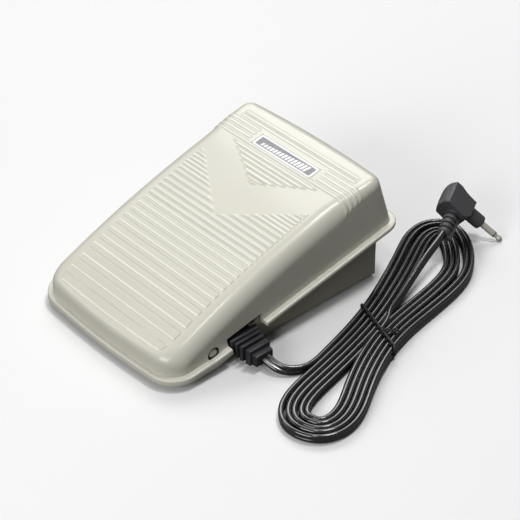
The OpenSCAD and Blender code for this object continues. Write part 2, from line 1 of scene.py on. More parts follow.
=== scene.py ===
"""Foot pedal with a ribbed rocking cover, a tied coil of flat twin cord and an angled jack plug.

The pedal stands on z = 0, its low front end towards -y and its high rear end towards +y.
The cover turns on pins along x near the front. The cord leaves on the right (+x), and its
coil and plug lie on the floor on that side. Shapes are worked out in millimetres and scaled
to metres when a mesh is made.
"""
import bpy, bmesh, math
import numpy as np
from mathutils import Matrix, Vector


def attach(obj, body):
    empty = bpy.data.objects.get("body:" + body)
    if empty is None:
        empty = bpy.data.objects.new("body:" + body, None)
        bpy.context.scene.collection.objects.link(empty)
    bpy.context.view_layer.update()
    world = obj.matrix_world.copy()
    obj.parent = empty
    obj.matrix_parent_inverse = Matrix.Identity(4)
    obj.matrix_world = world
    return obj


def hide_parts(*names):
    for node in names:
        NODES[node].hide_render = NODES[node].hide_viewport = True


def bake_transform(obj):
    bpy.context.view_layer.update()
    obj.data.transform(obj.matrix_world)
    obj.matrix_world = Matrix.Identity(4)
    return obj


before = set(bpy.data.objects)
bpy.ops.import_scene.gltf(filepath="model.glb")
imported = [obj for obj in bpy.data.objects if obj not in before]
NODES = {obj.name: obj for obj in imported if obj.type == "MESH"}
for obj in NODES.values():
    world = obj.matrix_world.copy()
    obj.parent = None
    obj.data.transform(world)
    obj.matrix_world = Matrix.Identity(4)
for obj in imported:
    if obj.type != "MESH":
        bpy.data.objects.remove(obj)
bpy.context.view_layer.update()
MM = 0.001


# ------------------------------------------------------------------ mesh helpers
def smooth(t):
    """Smoothstep, held at 0 and 1 outside the unit range."""
    t = np.clip(t, 0.0, 1.0)
    return t * t * (3 - 2 * t)


def shade_smooth(obj, angle):
    """Smooth shading, with edges steeper than the angle kept sharp."""
    mesh = obj.data
    mesh.polygons.foreach_set("use_smooth", [True] * len(mesh.polygons))
    mesh.set_sharp_from_angle(angle=math.radians(angle))
    mesh.update()


def fix_normals(obj):
    bm = bmesh.new()
    bm.from_mesh(obj.data)
    bmesh.ops.recalc_face_normals(bm, faces=bm.faces)
    bm.to_mesh(obj.data)
    bm.free()
    obj.data.update()


def new_object(name, verts, faces, material):
    mesh = bpy.data.meshes.new(name)
    mesh.from_pydata((np.asarray(verts, float) * MM).tolist(), [], faces)
    mesh.validate()
    mesh.update()
    obj = bpy.data.objects.new(name, mesh)
    bpy.context.scene.collection.objects.link(obj)
    mesh.materials.append(material)
    return obj


def join(parts):
    verts, faces = [], []
    for part_verts, part_faces in parts:
        first = len(verts)
        verts += [tuple(p) for p in part_verts]
        faces += [tuple(i + first for i in face) for face in part_faces]
    return verts, faces


def register(obj, rides, replaces=None):
    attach(obj, rides)
    if replaces:
        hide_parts(replaces)


def add_piece(name, parts, material, rides, replaces=None, angle=35, recalc=False):
    obj = new_object(name, *join(parts), material)
    if recalc:
        fix_normals(obj)
    shade_smooth(obj, angle)
    register(obj, rides, replaces)


def apply_modifiers(obj):
    bpy.context.view_layer.update()
    depsgraph = bpy.context.evaluated_depsgraph_get()
    mesh = bpy.data.meshes.new_from_object(obj.evaluated_get(depsgraph), depsgraph=depsgraph)
    obj.modifiers.clear()
    old = obj.data
    obj.data = mesh
    bpy.data.meshes.remove(old)


def cut(obj, name, verts, faces):
    """Subtract a closed shape from the object."""
    cutter = new_object(name, verts, faces, COVER)
    fix_normals(cutter)
    mod = obj.modifiers.new("cut", "BOOLEAN")
    mod.operation = "DIFFERENCE"
    mod.solver = "EXACT"
    mod.object = cutter
    apply_modifiers(obj)
    bpy.data.objects.remove(cutter)


def turn(degrees, axis):
    return Matrix.Rotation(math.radians(degrees), 4, axis)


def lathe(profile, segments=48, place=Matrix.Identity(4), closed=False):
    """Turn (radius, height) pairs about local z. A point on the axis becomes one vertex."""
    verts, rings, faces = [], [], []
    for r, z in profile:
        if r < 1e-6:
            rings.append([len(verts)])
            verts.append((0, 0, z))
        else:
            rings.append(list(range(len(verts), len(verts) + segments)))
            angles = [2 * math.pi * k / segments for k in range(segments)]
            verts += [(r * math.cos(a), r * math.sin(a), z) for a in angles]
    following = rings[1:] + (rings[:1] if closed else [])
    for low, high in zip(rings, following):
        for k in range(segments):
            k2 = (k + 1) % segments
            if len(low) == 1 and len(high) == 1:
                continue
            if len(low) == 1:
                faces.append((low[0], high[k], high[k2]))
            elif len(high) == 1:
                faces.append((low[k], high[0], low[k2]))
            else:
                faces.append((low[k], high[k], high[k2], low[k2]))
    return [tuple(place @ Vector(v)) for v in verts], faces


def bevelled(bm, edges, radius, segments, place, clamp=False):
    """Round the edges, then hand back placed vertices and faces and free the bmesh."""
    bmesh.ops.bevel(bm, geom=edges, offset=radius, segments=segments, profile=0.5,
                    affect="EDGES", clamp_overlap=clamp)
    verts = [tuple(place @ v.co) for v in bm.verts]
    faces = [tuple(v.index for v in f.verts) for f in bm.faces]
    bm.free()
    return verts, faces


def rounded_box(xs, ys, zs, radius, segments=3, taper=(1.0, 1.0), place=Matrix.Identity(4)):
    """A box between (low, high) pairs. The taper scales the y and z size of its +x end."""
    (x0, x1), (y0, y1), (z0, z1) = xs, ys, zs
    bm = bmesh.new()
    bmesh.ops.create_cube(bm, size=1)
    for v in bm.verts:
        x, y, z = v.co
        scale_y, scale_z = taper if x > 0 else (1.0, 1.0)
        v.co = Vector(((x0 + x1) / 2 + x * (x1 - x0),
                       (y0 + y1) / 2 + y * (y1 - y0) * scale_y,
                       (z0 + z1) / 2 + z * (z1 - z0) * scale_z))
    return bevelled(bm, list(bm.edges), radius, segments, place)


def prism(outline, z0, z1, radius, segments, place):
    """An extruded outline with all edges rounded."""
    bm = bmesh.new()
    low = [bm.verts.new((x, y, z0)) for x, y in outline]
    high = [bm.verts.new((x, y, z1)) for x, y in outline]
    n = len(outline)
    bm.faces.new(low[::-1])
    bm.faces.new(high)
    for i in range(n):
        j = (i + 1) % n
        bm.faces.new((low[i], low[j], high[j], high[i]))
    bmesh.ops.recalc_face_normals(bm, faces=bm.faces)
    return bevelled(bm, list(bm.edges), radius, segments, place, clamp=True)


def strip_faces(n, m, closed=False):
    """Quads along n sections of m points each, with end caps unless closed."""
    faces = []
    for i in range(n if closed else n - 1):
        a, b = i * m, (i + 1) % n * m
        for k in range(m):
            k2 = (k + 1) % m
            faces.append((a + k, a + k2, b + k2, b + k))
    if not closed:
        faces.append(tuple(range(m - 1, -1, -1)))
        faces.append(tuple((n - 1) * m + k for k in range(m)))
    return faces


def tube(path, radius, sides=12, closed=False):
    """A round wire along the path, its section carried along without twist."""
    if closed:
        tangents = np.roll(path, -1, 0) - np.roll(path, 1, 0)
    else:
        tangents = np.gradient(path, axis=0)
    tangents /= np.linalg.norm(tangents, axis=1)[:, None]
    normal = np.cross(tangents[0], [0, 0, 1.0])
    if np.linalg.norm(normal) < 0.1:
        normal = np.cross(tangents[0], [1.0, 0, 0])
    verts = []
    for point, tangent in zip(path, tangents):
        normal = normal - tangent * np.dot(normal, tangent)
        normal /= np.linalg.norm(normal)
        side = np.cross(tangent, normal)
        for k in range(sides):
            a = 2 * math.pi * k / sides
            verts.append(point + radius * (math.cos(a) * normal + math.sin(a) * side))
    return verts, strip_faces(len(path), sides, closed)


# ------------------------------------------------------------------ shader helpers
def add_node(tree, kind, settings=None, **inputs):
    """Add a node. Input names have _ for a space; sockets are linked, other values are set."""
    node = tree.nodes.new("ShaderNode" + kind)
    for name, value in (settings or {}).items():
        setattr(node, name, value)
    for name, value in inputs.items():
        socket = node.inputs[name.replace("_", " ")]
        if isinstance(value, bpy.types.NodeSocket):
            tree.links.new(value, socket)
        else:
            socket.default_value = value
    return node


def mix_colour(tree, factor, a, b):
    mix = add_node(tree, "Mix", {"data_type": "RGBA"}, Factor=factor, A=a, B=b)
    return mix.outputs["Result"]


def two_colour_ramp(tree, factor, start, end, interpolation="LINEAR"):
    """A ramp between two (position, rgb) stops."""
    ramp = add_node(tree, "ValToRGB", Fac=factor)
    ramp.color_ramp.interpolation = interpolation
    for stop, (position, rgb) in zip(ramp.color_ramp.elements, (start, end)):
        stop.position = position
        stop.color = (*rgb, 1)
    return ramp.outputs["Color"]


def mottled(tree, coords, rgb, vary, scale):
    """The base colour, slowly varied."""
    noise = add_node(tree, "TexNoise", Scale=scale, Detail=5, Vector=coords)
    dark = [max(0, c * (1 - vary)) for c in rgb]
    light = [min(1, c * (1 + vary)) for c in rgb]
    return two_colour_ramp(tree, noise.outputs["Fac"], (0.3, dark), (0.7, light))


def lightened_edges(tree, colour, amount, rgb):
    """Lighter colour on the outer edges; where the cover and the plug use it, it is a painted
    highlight.
    """
    geometry = add_node(tree, "NewGeometry")
    edge = add_node(tree, "MapRange", From_Min=0.52, From_Max=0.62,
                    Value=geometry.outputs["Pointiness"])
    share = add_node(tree, "Math", {"operation": "MULTIPLY"})
    share.inputs[1].default_value = amount
    tree.links.new(edge.outputs[0], share.inputs[0])
    return mix_colour(tree, share.outputs[0], colour, (*rgb, 1))


def dark_cavities(tree, colour, amount):
    """Painted shade in the inner corners."""
    geometry = add_node(tree, "NewGeometry")
    shade = add_node(tree, "MapRange", From_Min=0.40, From_Max=0.485, To_Min=1 - amount,
                     To_Max=1.0, Value=geometry.outputs["Pointiness"])
    scaled = add_node(tree, "VectorMath", {"operation": "SCALE"}, Vector=colour,
                      Scale=shade.outputs[0])
    return scaled.outputs[0]


def tinted_bar_lines(tree, colour, amount):
    """Painted highlight where the bar attribute is positive, painted shade where it is negative."""
    line = add_node(tree, "Attribute", {"attribute_name": "bar_light_and_shade"})
    for full, rgb, strength in ((1.0, (1.0, 0.985, 0.90), amount),
                                (-1.0, (0.15, 0.145, 0.115), 0.85 * amount)):
        share = add_node(tree, "MapRange", From_Min=0.0, From_Max=full, To_Max=strength,
                         Value=line.outputs["Fac"])
        colour = mix_colour(tree, share.outputs[0], colour, (*rgb, 1))
    return colour


def varied_roughness(tree, coords, rough, vary, scale, scratch):
    """Uneven roughness, drawn out into streaks along y where scratched."""
    if scratch:
        stretched = add_node(tree, "Mapping", Scale=(1.0, 0.06, 1.0), Vector=coords)
        coords = stretched.outputs[0]
    noise = add_node(tree, "TexNoise", Scale=scale * (20 if scratch else 3.1), Detail=6,
                     Vector=coords)
    mapped = add_node(tree, "MapRange", From_Min=0.3, From_Max=0.7,
                      To_Min=max(0.02, rough - vary), To_Max=min(1, rough + vary),
                      Value=noise.outputs["Fac"])
    return mapped.outputs[0]


def grain(tree, coords, strength, scale):
    """A fine moulded or cast texture."""
    noise = add_node(tree, "TexNoise", Scale=scale, Detail=3, Vector=coords)
    bump = add_node(tree, "Bump", Strength=strength, Distance=0.0002,
                    Height=noise.outputs["Fac"])
    return bump.outputs[0]


def make_material(name, rgb, rough=0.4, metal=0.0, bump=0.0, bump_scale=900.0, vary=0.04,
                  vary_scale=25.0, spec=0.5, coat=0.0, coat_rough=0.1, edge_lightening=0.0, edge_lightening_rgb=None,
                  rough_vary=0.06, scratch=False, pattern=None, cavity=0.0, lines=0.0):
    material = bpy.data.materials.new(name)
    material.use_nodes = True
    tree = material.node_tree
    tree.nodes.clear()
    output = add_node(tree, "OutputMaterial")
    shader = add_node(tree, "BsdfPrincipled", Metallic=metal, Specular_IOR_Level=spec,
                      Coat_Weight=coat, Coat_Roughness=coat_rough)
    tree.links.new(shader.outputs[0], output.inputs[0])
    coords = add_node(tree, "TexCoord").outputs["Object"]
    colour = mottled(tree, coords, rgb, vary, vary_scale)
    if pattern:
        colour = pattern(tree, coords, colour)
    if edge_lightening:
        colour = lightened_edges(tree, colour, edge_lightening, edge_lightening_rgb or [min(1, c * 1.3) for c in rgb])
    if cavity:
        colour = dark_cavities(tree, colour, cavity)
    if lines:
        colour = tinted_bar_lines(tree, colour, lines)
    tree.links.new(colour, shader.inputs["Base Color"])
    roughness = varied_roughness(tree, coords, rough, rough_vary, vary_scale, scratch)
    tree.links.new(roughness, shader.inputs["Roughness"])
    if bump:
        tree.links.new(grain(tree, coords, bump, bump_scale), shader.inputs["Normal"])
    return material


def board_pattern(tree, coords, colour):
    """Green rectangles with lighter lines between them."""
    bricks = add_node(tree, "TexBrick", Scale=220, Color1=(0.08, 0.30, 0.13, 1),
                      Color2=(0.05, 0.22, 0.09, 1), Mortar=(0.13, 0.42, 0.2, 1),
                      Mortar_Size=0.03, Vector=coords)
    return mix_colour(tree, 0.7, colour, bricks.outputs["Color"])


def resistor_bands(tree, coords, colour):
    """Dark red bands across y."""
    wave = add_node(tree, "TexWave", {"wave_type": "BANDS", "bands_direction": "Y"},
                    Scale=150, Vector=coords)
    band = two_colour_ramp(tree, wave.outputs["Fac"], (0.0, (0, 0, 0)), (0.82, (1, 1, 1)),
                           "CONSTANT")
    return mix_colour(tree, band, colour, (0.25, 0.05, 0.03, 1))


def dim_bounce(tree, coords, colour):
    """White to the camera, but throws less light back, as a flagged studio table does."""
    path = add_node(tree, "LightPath")
    return mix_colour(tree, path.outputs["Is Camera Ray"], (0.18, 0.18, 0.175, 1), colour)


# ------------------------------------------------------------------ materials
# The cover's colour carries painted highlight on its outer edges and along the bar fronts, and painted
# shade in its inner corners, along the bar backs and round the pin holes.
COVER = make_material(
    "cover_abs", (0.648, 0.634, 0.548), rough=0.34, bump=0.09, bump_scale=1500, vary=0.018,
    vary_scale=18, coat=0.32, coat_rough=0.12, rough_vary=0.05, edge_lightening=0.75,
    edge_lightening_rgb=(0.93, 0.92, 0.86), cavity=0.45, lines=1.0)
# The base is the cover's plastic; its darker colour is painted shade.
BASE = make_material("base_abs", (0.50, 0.485, 0.40), rough=0.45, bump=0.16, bump_scale=1300,
                     vary=0.03, vary_scale=22)
PLATE = make_material("label_border", (0.88, 0.88, 0.88), rough=0.3, bump=0.05,
                      bump_scale=2500, vary=0.01, coat=0.2)
FIELD = make_material("label_field", (0.225, 0.225, 0.243), rough=0.42, bump=0.2,
                      bump_scale=2600, vary=0.18, vary_scale=900, coat=0.1)
GLYPH = make_material("label_bars", (0.92, 0.92, 0.92), rough=0.3, bump=0.04,
                      bump_scale=2500, vary=0.01, coat=0.5)
RUBBER = make_material("rubber_black", (0.022, 0.022, 0.023), rough=0.75, bump=0.35,
                       bump_scale=1800, vary=0.15, edge_lightening=0.2, edge_lightening_rgb=(0.08, 0.08, 0.08))
ZINC = make_material("zinc_steel", (0.60, 0.60, 0.62), rough=0.34, metal=1.0, bump=0.08,
                     bump_scale=1200, vary=0.08, scratch=True, edge_lightening=0.3)
SPRING = make_material("spring_wire", (0.45, 0.45, 0.46), rough=0.28, metal=1.0, bump=0.08,
                       bump_scale=2200, vary=0.1, scratch=True)
ACETAL = make_material("acetal_natural", (0.80, 0.77, 0.66), rough=0.4, bump=0.1,
                       bump_scale=1500, vary=0.03, spec=0.45)
NYLON = make_material("nylon_black", (0.02, 0.02, 0.022), rough=0.5, bump=0.25,
                      bump_scale=1500, vary=0.15)
BRASS = make_material("brass_turned", (0.66, 0.46, 0.18), rough=0.25, metal=1.0, bump=0.1,
                      bump_scale=1800, vary=0.06, scratch=True)
NICKEL = make_material("nickel_plate", (0.84, 0.82, 0.72), rough=0.24, metal=0.62, bump=0.02,
                       bump_scale=1800, vary=0.03, rough_vary=0.04)
ALUMINIUM = make_material("aluminium_turned", (0.72, 0.72, 0.73), rough=0.3, metal=1.0,
                          bump=0.1, bump_scale=1800, vary=0.05, scratch=True)
BOARD = make_material("circuit_board", (0.06, 0.25, 0.1), rough=0.35, bump=0.2,
                      bump_scale=700, coat=0.4, pattern=board_pattern)
CAPACITOR = make_material("capacitor_sleeve", (0.03, 0.045, 0.14), rough=0.25, bump=0.04,
                          coat=0.5)
RESISTOR = make_material("resistor_lacquer", (0.55, 0.38, 0.2), rough=0.35, bump=0.1,
                         pattern=resistor_bands)
TERMINAL = make_material("terminal_green", (0.03, 0.2, 0.07), rough=0.42, bump=0.15,
                         bump_scale=1500)
WIRE = make_material("wire_red", (0.42, 0.02, 0.015), rough=0.35, bump=0.05)
VINYL = make_material("vinyl_black", (0.018, 0.018, 0.021), rough=0.38, bump=0.25,
                      bump_scale=1600, vary=0.12, edge_lightening=0.35, edge_lightening_rgb=(0.10, 0.10, 0.11),
                      spec=0.45)
# The hinge pins' steel is darker than the other steel as painted shade of their recesses.
PIN = make_material("pin_steel", (0.46, 0.45, 0.42), rough=0.42, metal=1.0, bump=0.08,
                    bump_scale=1200, vary=0.08)
CORD = make_material("cord_vinyl", (0.0065, 0.0065, 0.0075), rough=0.24, bump=0.04,
                     bump_scale=1400, vary=0.12, coat=1.0, coat_rough=0.05, rough_vary=0.05,
                     spec=0.6)
# the plug's lighter edges are a painted highlight
PLUG = make_material("plug_vinyl", (0.058, 0.058, 0.062), rough=0.44, bump=0.35,
                     bump_scale=1900, vary=0.10, edge_lightening=0.35, edge_lightening_rgb=(0.22, 0.22, 0.23),
                     spec=0.45)
FLOOR = make_material("studio_floor", (0.905, 0.905, 0.905), rough=0.6, vary=0.004,
                      vary_scale=4, spec=0.0, pattern=dim_bounce)

# ------------------------------------------------------------------ CAD pieces
CAD_MATERIALS = {
    "rubber_feet": RUBBER, "hinge_pins": PIN, "return_spring": SPRING, "spring_cup": ZINC,
    "travel_bumpers": RUBBER, "sector_rack": ACETAL, "sector_screws": ZINC,
    "pot_bracket": ZINC, "bracket_screws": ZINC, "pot_housing": NYLON, "pot_bushing": BRASS,
    "pot_washer": ZINC, "pot_nut": ZINC, "pot_terminals": NICKEL, "pot_shaft": ALUMINIUM,
    "drive_pinion": ACETAL, "circuit_board": BOARD, "board_screws": ZINC,
    "capacitor": CAPACITOR, "resistors": RESISTOR, "terminal_block": TERMINAL,
    "lead_wires": WIRE, "cord_clamp": NYLON, "clamp_screws": ZINC, "base_tray": BASE,
    "top_cover": COVER, "nameplate": PLATE, "strain_relief": VINYL, "power_cord": CORD,
    "cord_tie": VINYL, "plug_body": PLUG, "plug_boot": PLUG, "jack_insulator": NYLON,
    "jack_sleeve": NICKEL, "jack_ring": NICKEL, "jack_tip": NICKEL,
}
EDGE_WIDTHS = {
    "base_tray": 0.45, "rubber_feet": 0.3, "pot_bracket": 0.25, "circuit_board": 0.1,
    "cord_clamp": 0.35, "terminal_block": 0.25, "hinge_pins": 0.15, "spring_cup": 0.15,
    "sector_rack": 0.08,
}
for name, obj in NODES.items():
    obj.data.materials.clear()
    obj.data.materials.append(CAD_MATERIALS[name])
for name, width in EDGE_WIDTHS.items():
    bevel = NODES[name].modifiers.new("soft_edges", "BEVEL")
    bevel.width = width * MM
    bevel.segments = 3
    bevel.limit_method = "ANGLE"
    bevel.angle_limit = math.radians(50)

# ------------------------------------------------------------------ pedal cover: profiles
# Side profile of the top: z = TOP_Z + TOP_RISE y - TOP_CURVE y^2, plus a soft step
TOP_Z, TOP_RISE, TOP_CURVE = 47.25, 0.3237, 0.001185
STEP_HEIGHT, STEP_Y, STEP_LENGTH = 0.55, 2, 46

# Flange round the foot of the cover: level in front, then rising at the tilt
TILT_DEGREES = 11.44
TILT = math.tan(math.radians(TILT_DEGREES))
LIP_Z = 18.53            # upper face of the sloping part at y = 0
LIP_THICK = 2.65
LIP_KNEE = 1.2           # softness of the bend
LIP_LOW_Z = 4.7          # underside of the level part

# Outline of the top
TOP_HALF = 41.9          # half width where the side fillets begin
FRONT_CORNER_Y, FRONT_CORNER_DEPTH, FRONT_CORNER_WIDTH = -60.7, 8.9, 2.2
FRONT_Y = FRONT_CORNER_Y - FRONT_CORNER_DEPTH
REAR_Y = 64.0
REAR_CORNER = 1.5        # radius of the rear corners, in plan
REAR_CORNER_Y = REAR_Y - REAR_CORNER
REAR_WIDEN = 4.3         # the side fillet tightens towards the rear, so the top widens
WIDEN_Y = 32             # where the widening starts
REAR_CORNER_X = TOP_HALF + REAR_WIDEN - REAR_CORNER
BOW_HALF = 44.0          # half width over which the front and rear ends of the top bow

# Outline of the foot of the wall, on the flange
FOOT_HALF, FOOT_FRONT_RADIUS, FOOT_REAR_RADIUS = 51.7, 12, 5
FOOT_FRONT_X = FOOT_HALF - FOOT_FRONT_RADIUS
FOOT_REAR_X = FOOT_HALF - FOOT_REAR_RADIUS
FOOT_REAR_Y = 71.4       # centre of the rear foot corners
FOOT_FRONT_BOW, FOOT_REAR_BOW = 2.75, 2.6
FOOT_SHIFT_Y = 8         # behind this the foot runs ahead of the top's rows


def top_z(y):
    return (TOP_Z + TOP_RISE * y - TOP_CURVE * y * y
            + STEP_HEIGHT * smooth((y - STEP_Y) / STEP_LENGTH))


def top_slope(y):
    t = np.clip((y - STEP_Y) / STEP_LENGTH, 0.0, 1.0)
    return TOP_RISE - 2 * TOP_CURVE * y + STEP_HEIGHT * 6 * t * (1 - t) / STEP_LENGTH


def lip_top_z(y):
    level = 8.9 + 0.012 * (y + 48)
    slope = LIP_Z + TILT * y
    knee = LIP_KNEE * np.exp(-np.abs(level - slope) / LIP_KNEE) * 0.25
    return np.maximum(level, slope) + knee - 1.8 * smooth((-47 - y) / 29)


def lip_bottom_z(y):
    z = np.interp(y, [-90, -46, -14, 90],
                  [LIP_LOW_Z, LIP_LOW_Z, 13.05, LIP_Z + TILT * 90 - LIP_THICK])
    return z - 1.5 * smooth((-45 - y) / 31)


def top_half_width(y):
    width = TOP_HALF + REAR_WIDEN * smooth((y - WIDEN_Y) / (REAR_CORNER_Y - WIDEN_Y))
    front = y < FRONT_CORNER_Y
    t = (y[front] - FRONT_CORNER_Y) / FRONT_CORNER_DEPTH
    width[front] = (TOP_HALF - FRONT_CORNER_WIDTH
                    + FRONT_CORNER_WIDTH * np.sqrt(np.maximum(0, 1 - t ** 2)))
    rear = y > REAR_CORNER_Y
    t = (y[rear] - REAR_CORNER_Y) / REAR_CORNER
    width[rear] = REAR_CORNER_X + REAR_CORNER * np.sqrt(np.maximum(0, 1 - t ** 2))
    return width


# ------------------------------------------------------------------ pedal cover: raised bars
FIELD_DROP = 0.36        # the field between the bars lies this far below the top profile
BAR_HEIGHT = 0.40
BAR_HALF = 41.55         # half length of the bars
BAR_EDGE = 0.14          # half width of a bar's sloping edge
SIDE_BAR_X = 25.3        # inner ends of the bars beside the label
LABEL_X, LABEL_Y0, LABEL_Y1 = 22.45, 43.55, 52.05    # shallow pocket for the label
POCKET_DEPTH = 0.42
# Front edges of the front bars
FRONT_BAR_Y = [-72.04, -62.36, -54.99, -47.40, -42.01, -36.40, -30.79, -26.39, -21.88,
               -17.48, -13.08, -9.67, -6.37, -2.85, 0.56, 3.97, 7.49, 10.46, 12.88, 15.30,
               17.61, 19.92, 22.34, 24.76, 27.20]
LAST_PITCH = 2.4
# The other bars: kind, width, front edges
OTHER_BARS = [
    ("vee", 1.3, [23.35, 25.95, 28.55, 31.1, 33.8, 36.3, 39.0]),   # behind the smooth V band
    ("full", 1.5, [42.3]),                                         # right across
    ("side", 1.5, [45.5, 48.9, 52.0]),                             # either side of the label
    ("rear", 1.5, [55.3, 58.4]),
]
bars = []                # (front edge, rear edge, kind)
for k, (y, following) in enumerate(zip(FRONT_BAR_Y, FRONT_BAR_Y[1:] + [FRONT_BAR_Y[-1] + LAST_PITCH])):
    bars.append((y, y + (following - y) * (0.60 if k < 10 else 0.55), "front"))
bars += [(y, y + width, kind) for kind, width, starts in OTHER_BARS for y in starts]


def bar_front_edge(y0, half_x):
    """The first bar follows the bowed front."""
    return y0 + (1.1 + 0.95 * (half_x / BOW_HALF) ** 2 if y0 == FRONT_BAR_Y[0] else 0)


def bar_extent(kind, half_x, y, crisp):
    """Where a kind of bar is present, 0 to 1, with crisp or soft outer ends."""
    def within(limit):
        return half_x < limit if crisp else smooth((limit - half_x) / 0.45 + 0.5)

    if kind == "front":
        width = top_half_width(np.clip(y, FRONT_Y, REAR_Y))
        ahead_of_band = smooth((-1.2 + 0.6875 * half_x - y) / 0.7)
        return ahead_of_band * within(np.minimum(BAR_HALF + 0.1, width - 0.9))
    if kind == "vee":
        behind_band = smooth((y - (23.15 + 0.545 * half_x)) / 0.6 + 0.4)
        return behind_band * within(BAR_HALF + 0.8)
    if kind == "side":
        return smooth((half_x - SIDE_BAR_X) / 0.6 + 0.5)
    if kind == "rear":
        return within(BAR_HALF + 1.6)
    return 1.0


def bar_height(x, y, kinds=("front", "vee", "full", "side", "rear")):
    """Height of the bars above the field, less the label pocket."""
    half_x = np.abs(x)
    height = np.zeros_like(y)
    for y0, y1, kind in bars:
        if kind not in kinds:
            continue
        front_edge = BAR_EDGE * (2.0 if y0 == FRONT_BAR_Y[0] else 1.0)
        bar = (smooth((y - bar_front_edge(y0, half_x)) / (2 * front_edge) + 0.5)
               * smooth((y1 - y) / (2 * BAR_EDGE) + 0.5))
        height = np.maximum(height, bar * bar_extent(kind, half_x, y, crisp=False))
    pocket = (smooth((LABEL_X - half_x) / 0.3 + 0.5) * smooth((y - LABEL_Y0) / 0.3 + 0.5)
              * smooth((LABEL_Y1 - y) / 0.3 + 0.5))
    return height * BAR_HEIGHT - POCKET_DEPTH * pocket


def painted_bar_lines(points):
    """+1 for a painted highlight along the front edge of each bar, -1 for painted shade along the rear
    edge.
    """
    x, y, z = points.T
    half_x = np.abs(x)
    line = np.zeros(len(points))
    for y0, y1, kind in bars:
        highlight_share = 1.0 - 0.55 * smooth((y0 + 38) / 60)       # weaker towards the rear
        light = np.exp(-((y - bar_front_edge(y0, half_x) - 0.07) / 0.19) ** 2)
        dark = np.exp(-((y - y1 - 0.04) / 0.20) ** 2)
        line += (bar_extent(kind, half_x, y, crisp=True)
                 * (1.25 * highlight_share * light - (0.95 - 0.4 * highlight_share) * dark))
    line *= z > top_z(y) - FIELD_DROP - 0.7                # outer skin of the top only
    return np.clip(line, -1, 1)


# ------------------------------------------------------------------ pedal cover: top grid
INNER_STEP = 4           # the inner shell takes every fourth row and column


def thinned(values, gap, always=None):
    """Drop values that follow the last kept one too closely."""
    kept = [values[0]]
    for value in values[1:]:
        if value - kept[-1] > gap or value == always:
            kept.append(value)
    return kept


def split_widest(values):
    widest = int(np.argmax(np.diff(values)))
    values.insert(widest + 1, (values[widest] + values[widest + 1]) / 2)


def top_rows():
    """Rows along y: dense at the corners and at each bar edge, with an even fill."""
    rows = set()
    for k in range(13):
        rows.add(round(FRONT_CORNER_Y - FRONT_CORNER_DEPTH * math.sin(math.pi / 2 * k / 12), 4))
    for k in range(6):
        rows.add(round(REAR_CORNER_Y + REAR_CORNER * math.sin(math.pi / 2 * k / 5), 4))
    rows |= set(np.round(np.arange(-69.3, -60.5, 0.28), 4))
    for y0, y1, _ in bars:
        for edge in (y0, y1):
            for offset in (-0.18, -0.09, 0.0, 0.09, 0.18):
                if FRONT_Y < edge + offset < REAR_CORNER_Y - 0.05:
                    rows.add(round(edge + offset, 4))
    for edge in (LABEL_Y0, LABEL_Y1):
        for offset in (-0.16, 0.0, 0.16):
            rows.add(round(edge + offset, 4))
    rows = thinned(sorted(rows), 0.06, always=REAR_Y)
    filled = [rows[0]]
    for row in rows[1:]:
        gap = row - filled[-1]
        if gap > 1.3:
            n = int(math.ceil(gap / 1.0))
            filled += [filled[-1] + gap * i / n for i in range(1, n)]
        filled.append(row)
    while (len(filled) - 1) % INNER_STEP:
        split_widest(filled)
    return np.array(filled)


def top_columns():
    """Columns as shares of the half width: dense at the pocket and at the bar ends."""
    columns = set(np.round(np.arange(0, 41.0, 0.62), 4))
    columns |= {22.15, 22.35, 22.55, 22.75, 24.9, 25.1, 25.3, 25.5, 25.7,
                41.0, 41.2, 41.4, 41.6, 41.75, TOP_HALF}
    columns = thinned(sorted(columns), 0.1)
    while (2 * (len(columns) - 1)) % INNER_STEP:
        split_widest(columns)
    return np.array([-c for c in columns[:0:-1]] + columns) / TOP_HALF


def on_top(x, y, lift):
    """A point of the top field, moved by lift along its normal."""
    slope = top_slope(y)
    n = np.sqrt(1 + slope * slope)
    return np.stack([x, y - slope / n * lift, top_z(y) - FIELD_DROP + lift / n], -1)


rows, columns = top_rows(), top_columns()
last_row, last_col = len(rows) - 1, len(columns) - 1

# Only the columns outside WIDEN_X follow the changing width
WIDEN_X = 26
nominal_x = np.abs(columns) * TOP_HALF
widen_share = np.clip((nominal_x - WIDEN_X) / (TOP_HALF - WIDEN_X), 0, 1)
grid_x = np.sign(columns)[None, :] * (
    nominal_x[None, :] + (top_half_width(rows) - TOP_HALF)[:, None] * widen_share[None, :])

# Bow of the end rows, and how far in from each end it reaches
FRONT_BOW, FRONT_BOW_REACH, REAR_BOW, REAR_BOW_REACH = -2.7, 6.7, 0.9, 5.06
front_share = np.clip((FRONT_Y + FRONT_BOW_REACH - rows) / FRONT_BOW_REACH, 0, 1) ** 2
rear_share = np.clip((rows - (REAR_Y - REAR_BOW_REACH)) / REAR_BOW_REACH, 0, 1) ** 2
bow = FRONT_BOW * front_share + REAR_BOW * rear_share
grid_y = rows[:, None] + bow[:, None] * (1 - (grid_x / BOW_HALF) ** 2)

# ------------------------------------------------------------------ pedal cover: perimeter
# Grid edge, anticlockwise from the front left corner, seen from above
edge_row = np.array([0] * (last_col + 1) + list(range(1, last_row + 1))
                    + [last_row] * last_col + list(range(last_row - 1, 0, -1)))
edge_col = np.array(list(range(last_col + 1)) + [last_col] * last_row
                    + list(range(last_col - 1, -1, -1)) + [0] * (last_row - 1))
edge_count = len(edge_row)
edge_x, edge_y = grid_x[edge_row, edge_col], grid_y[edge_row, edge_col]
row_y = rows[edge_row]


def foot_bow(x, depth):
    return depth * (1 - (x / FOOT_HALF) ** 2)


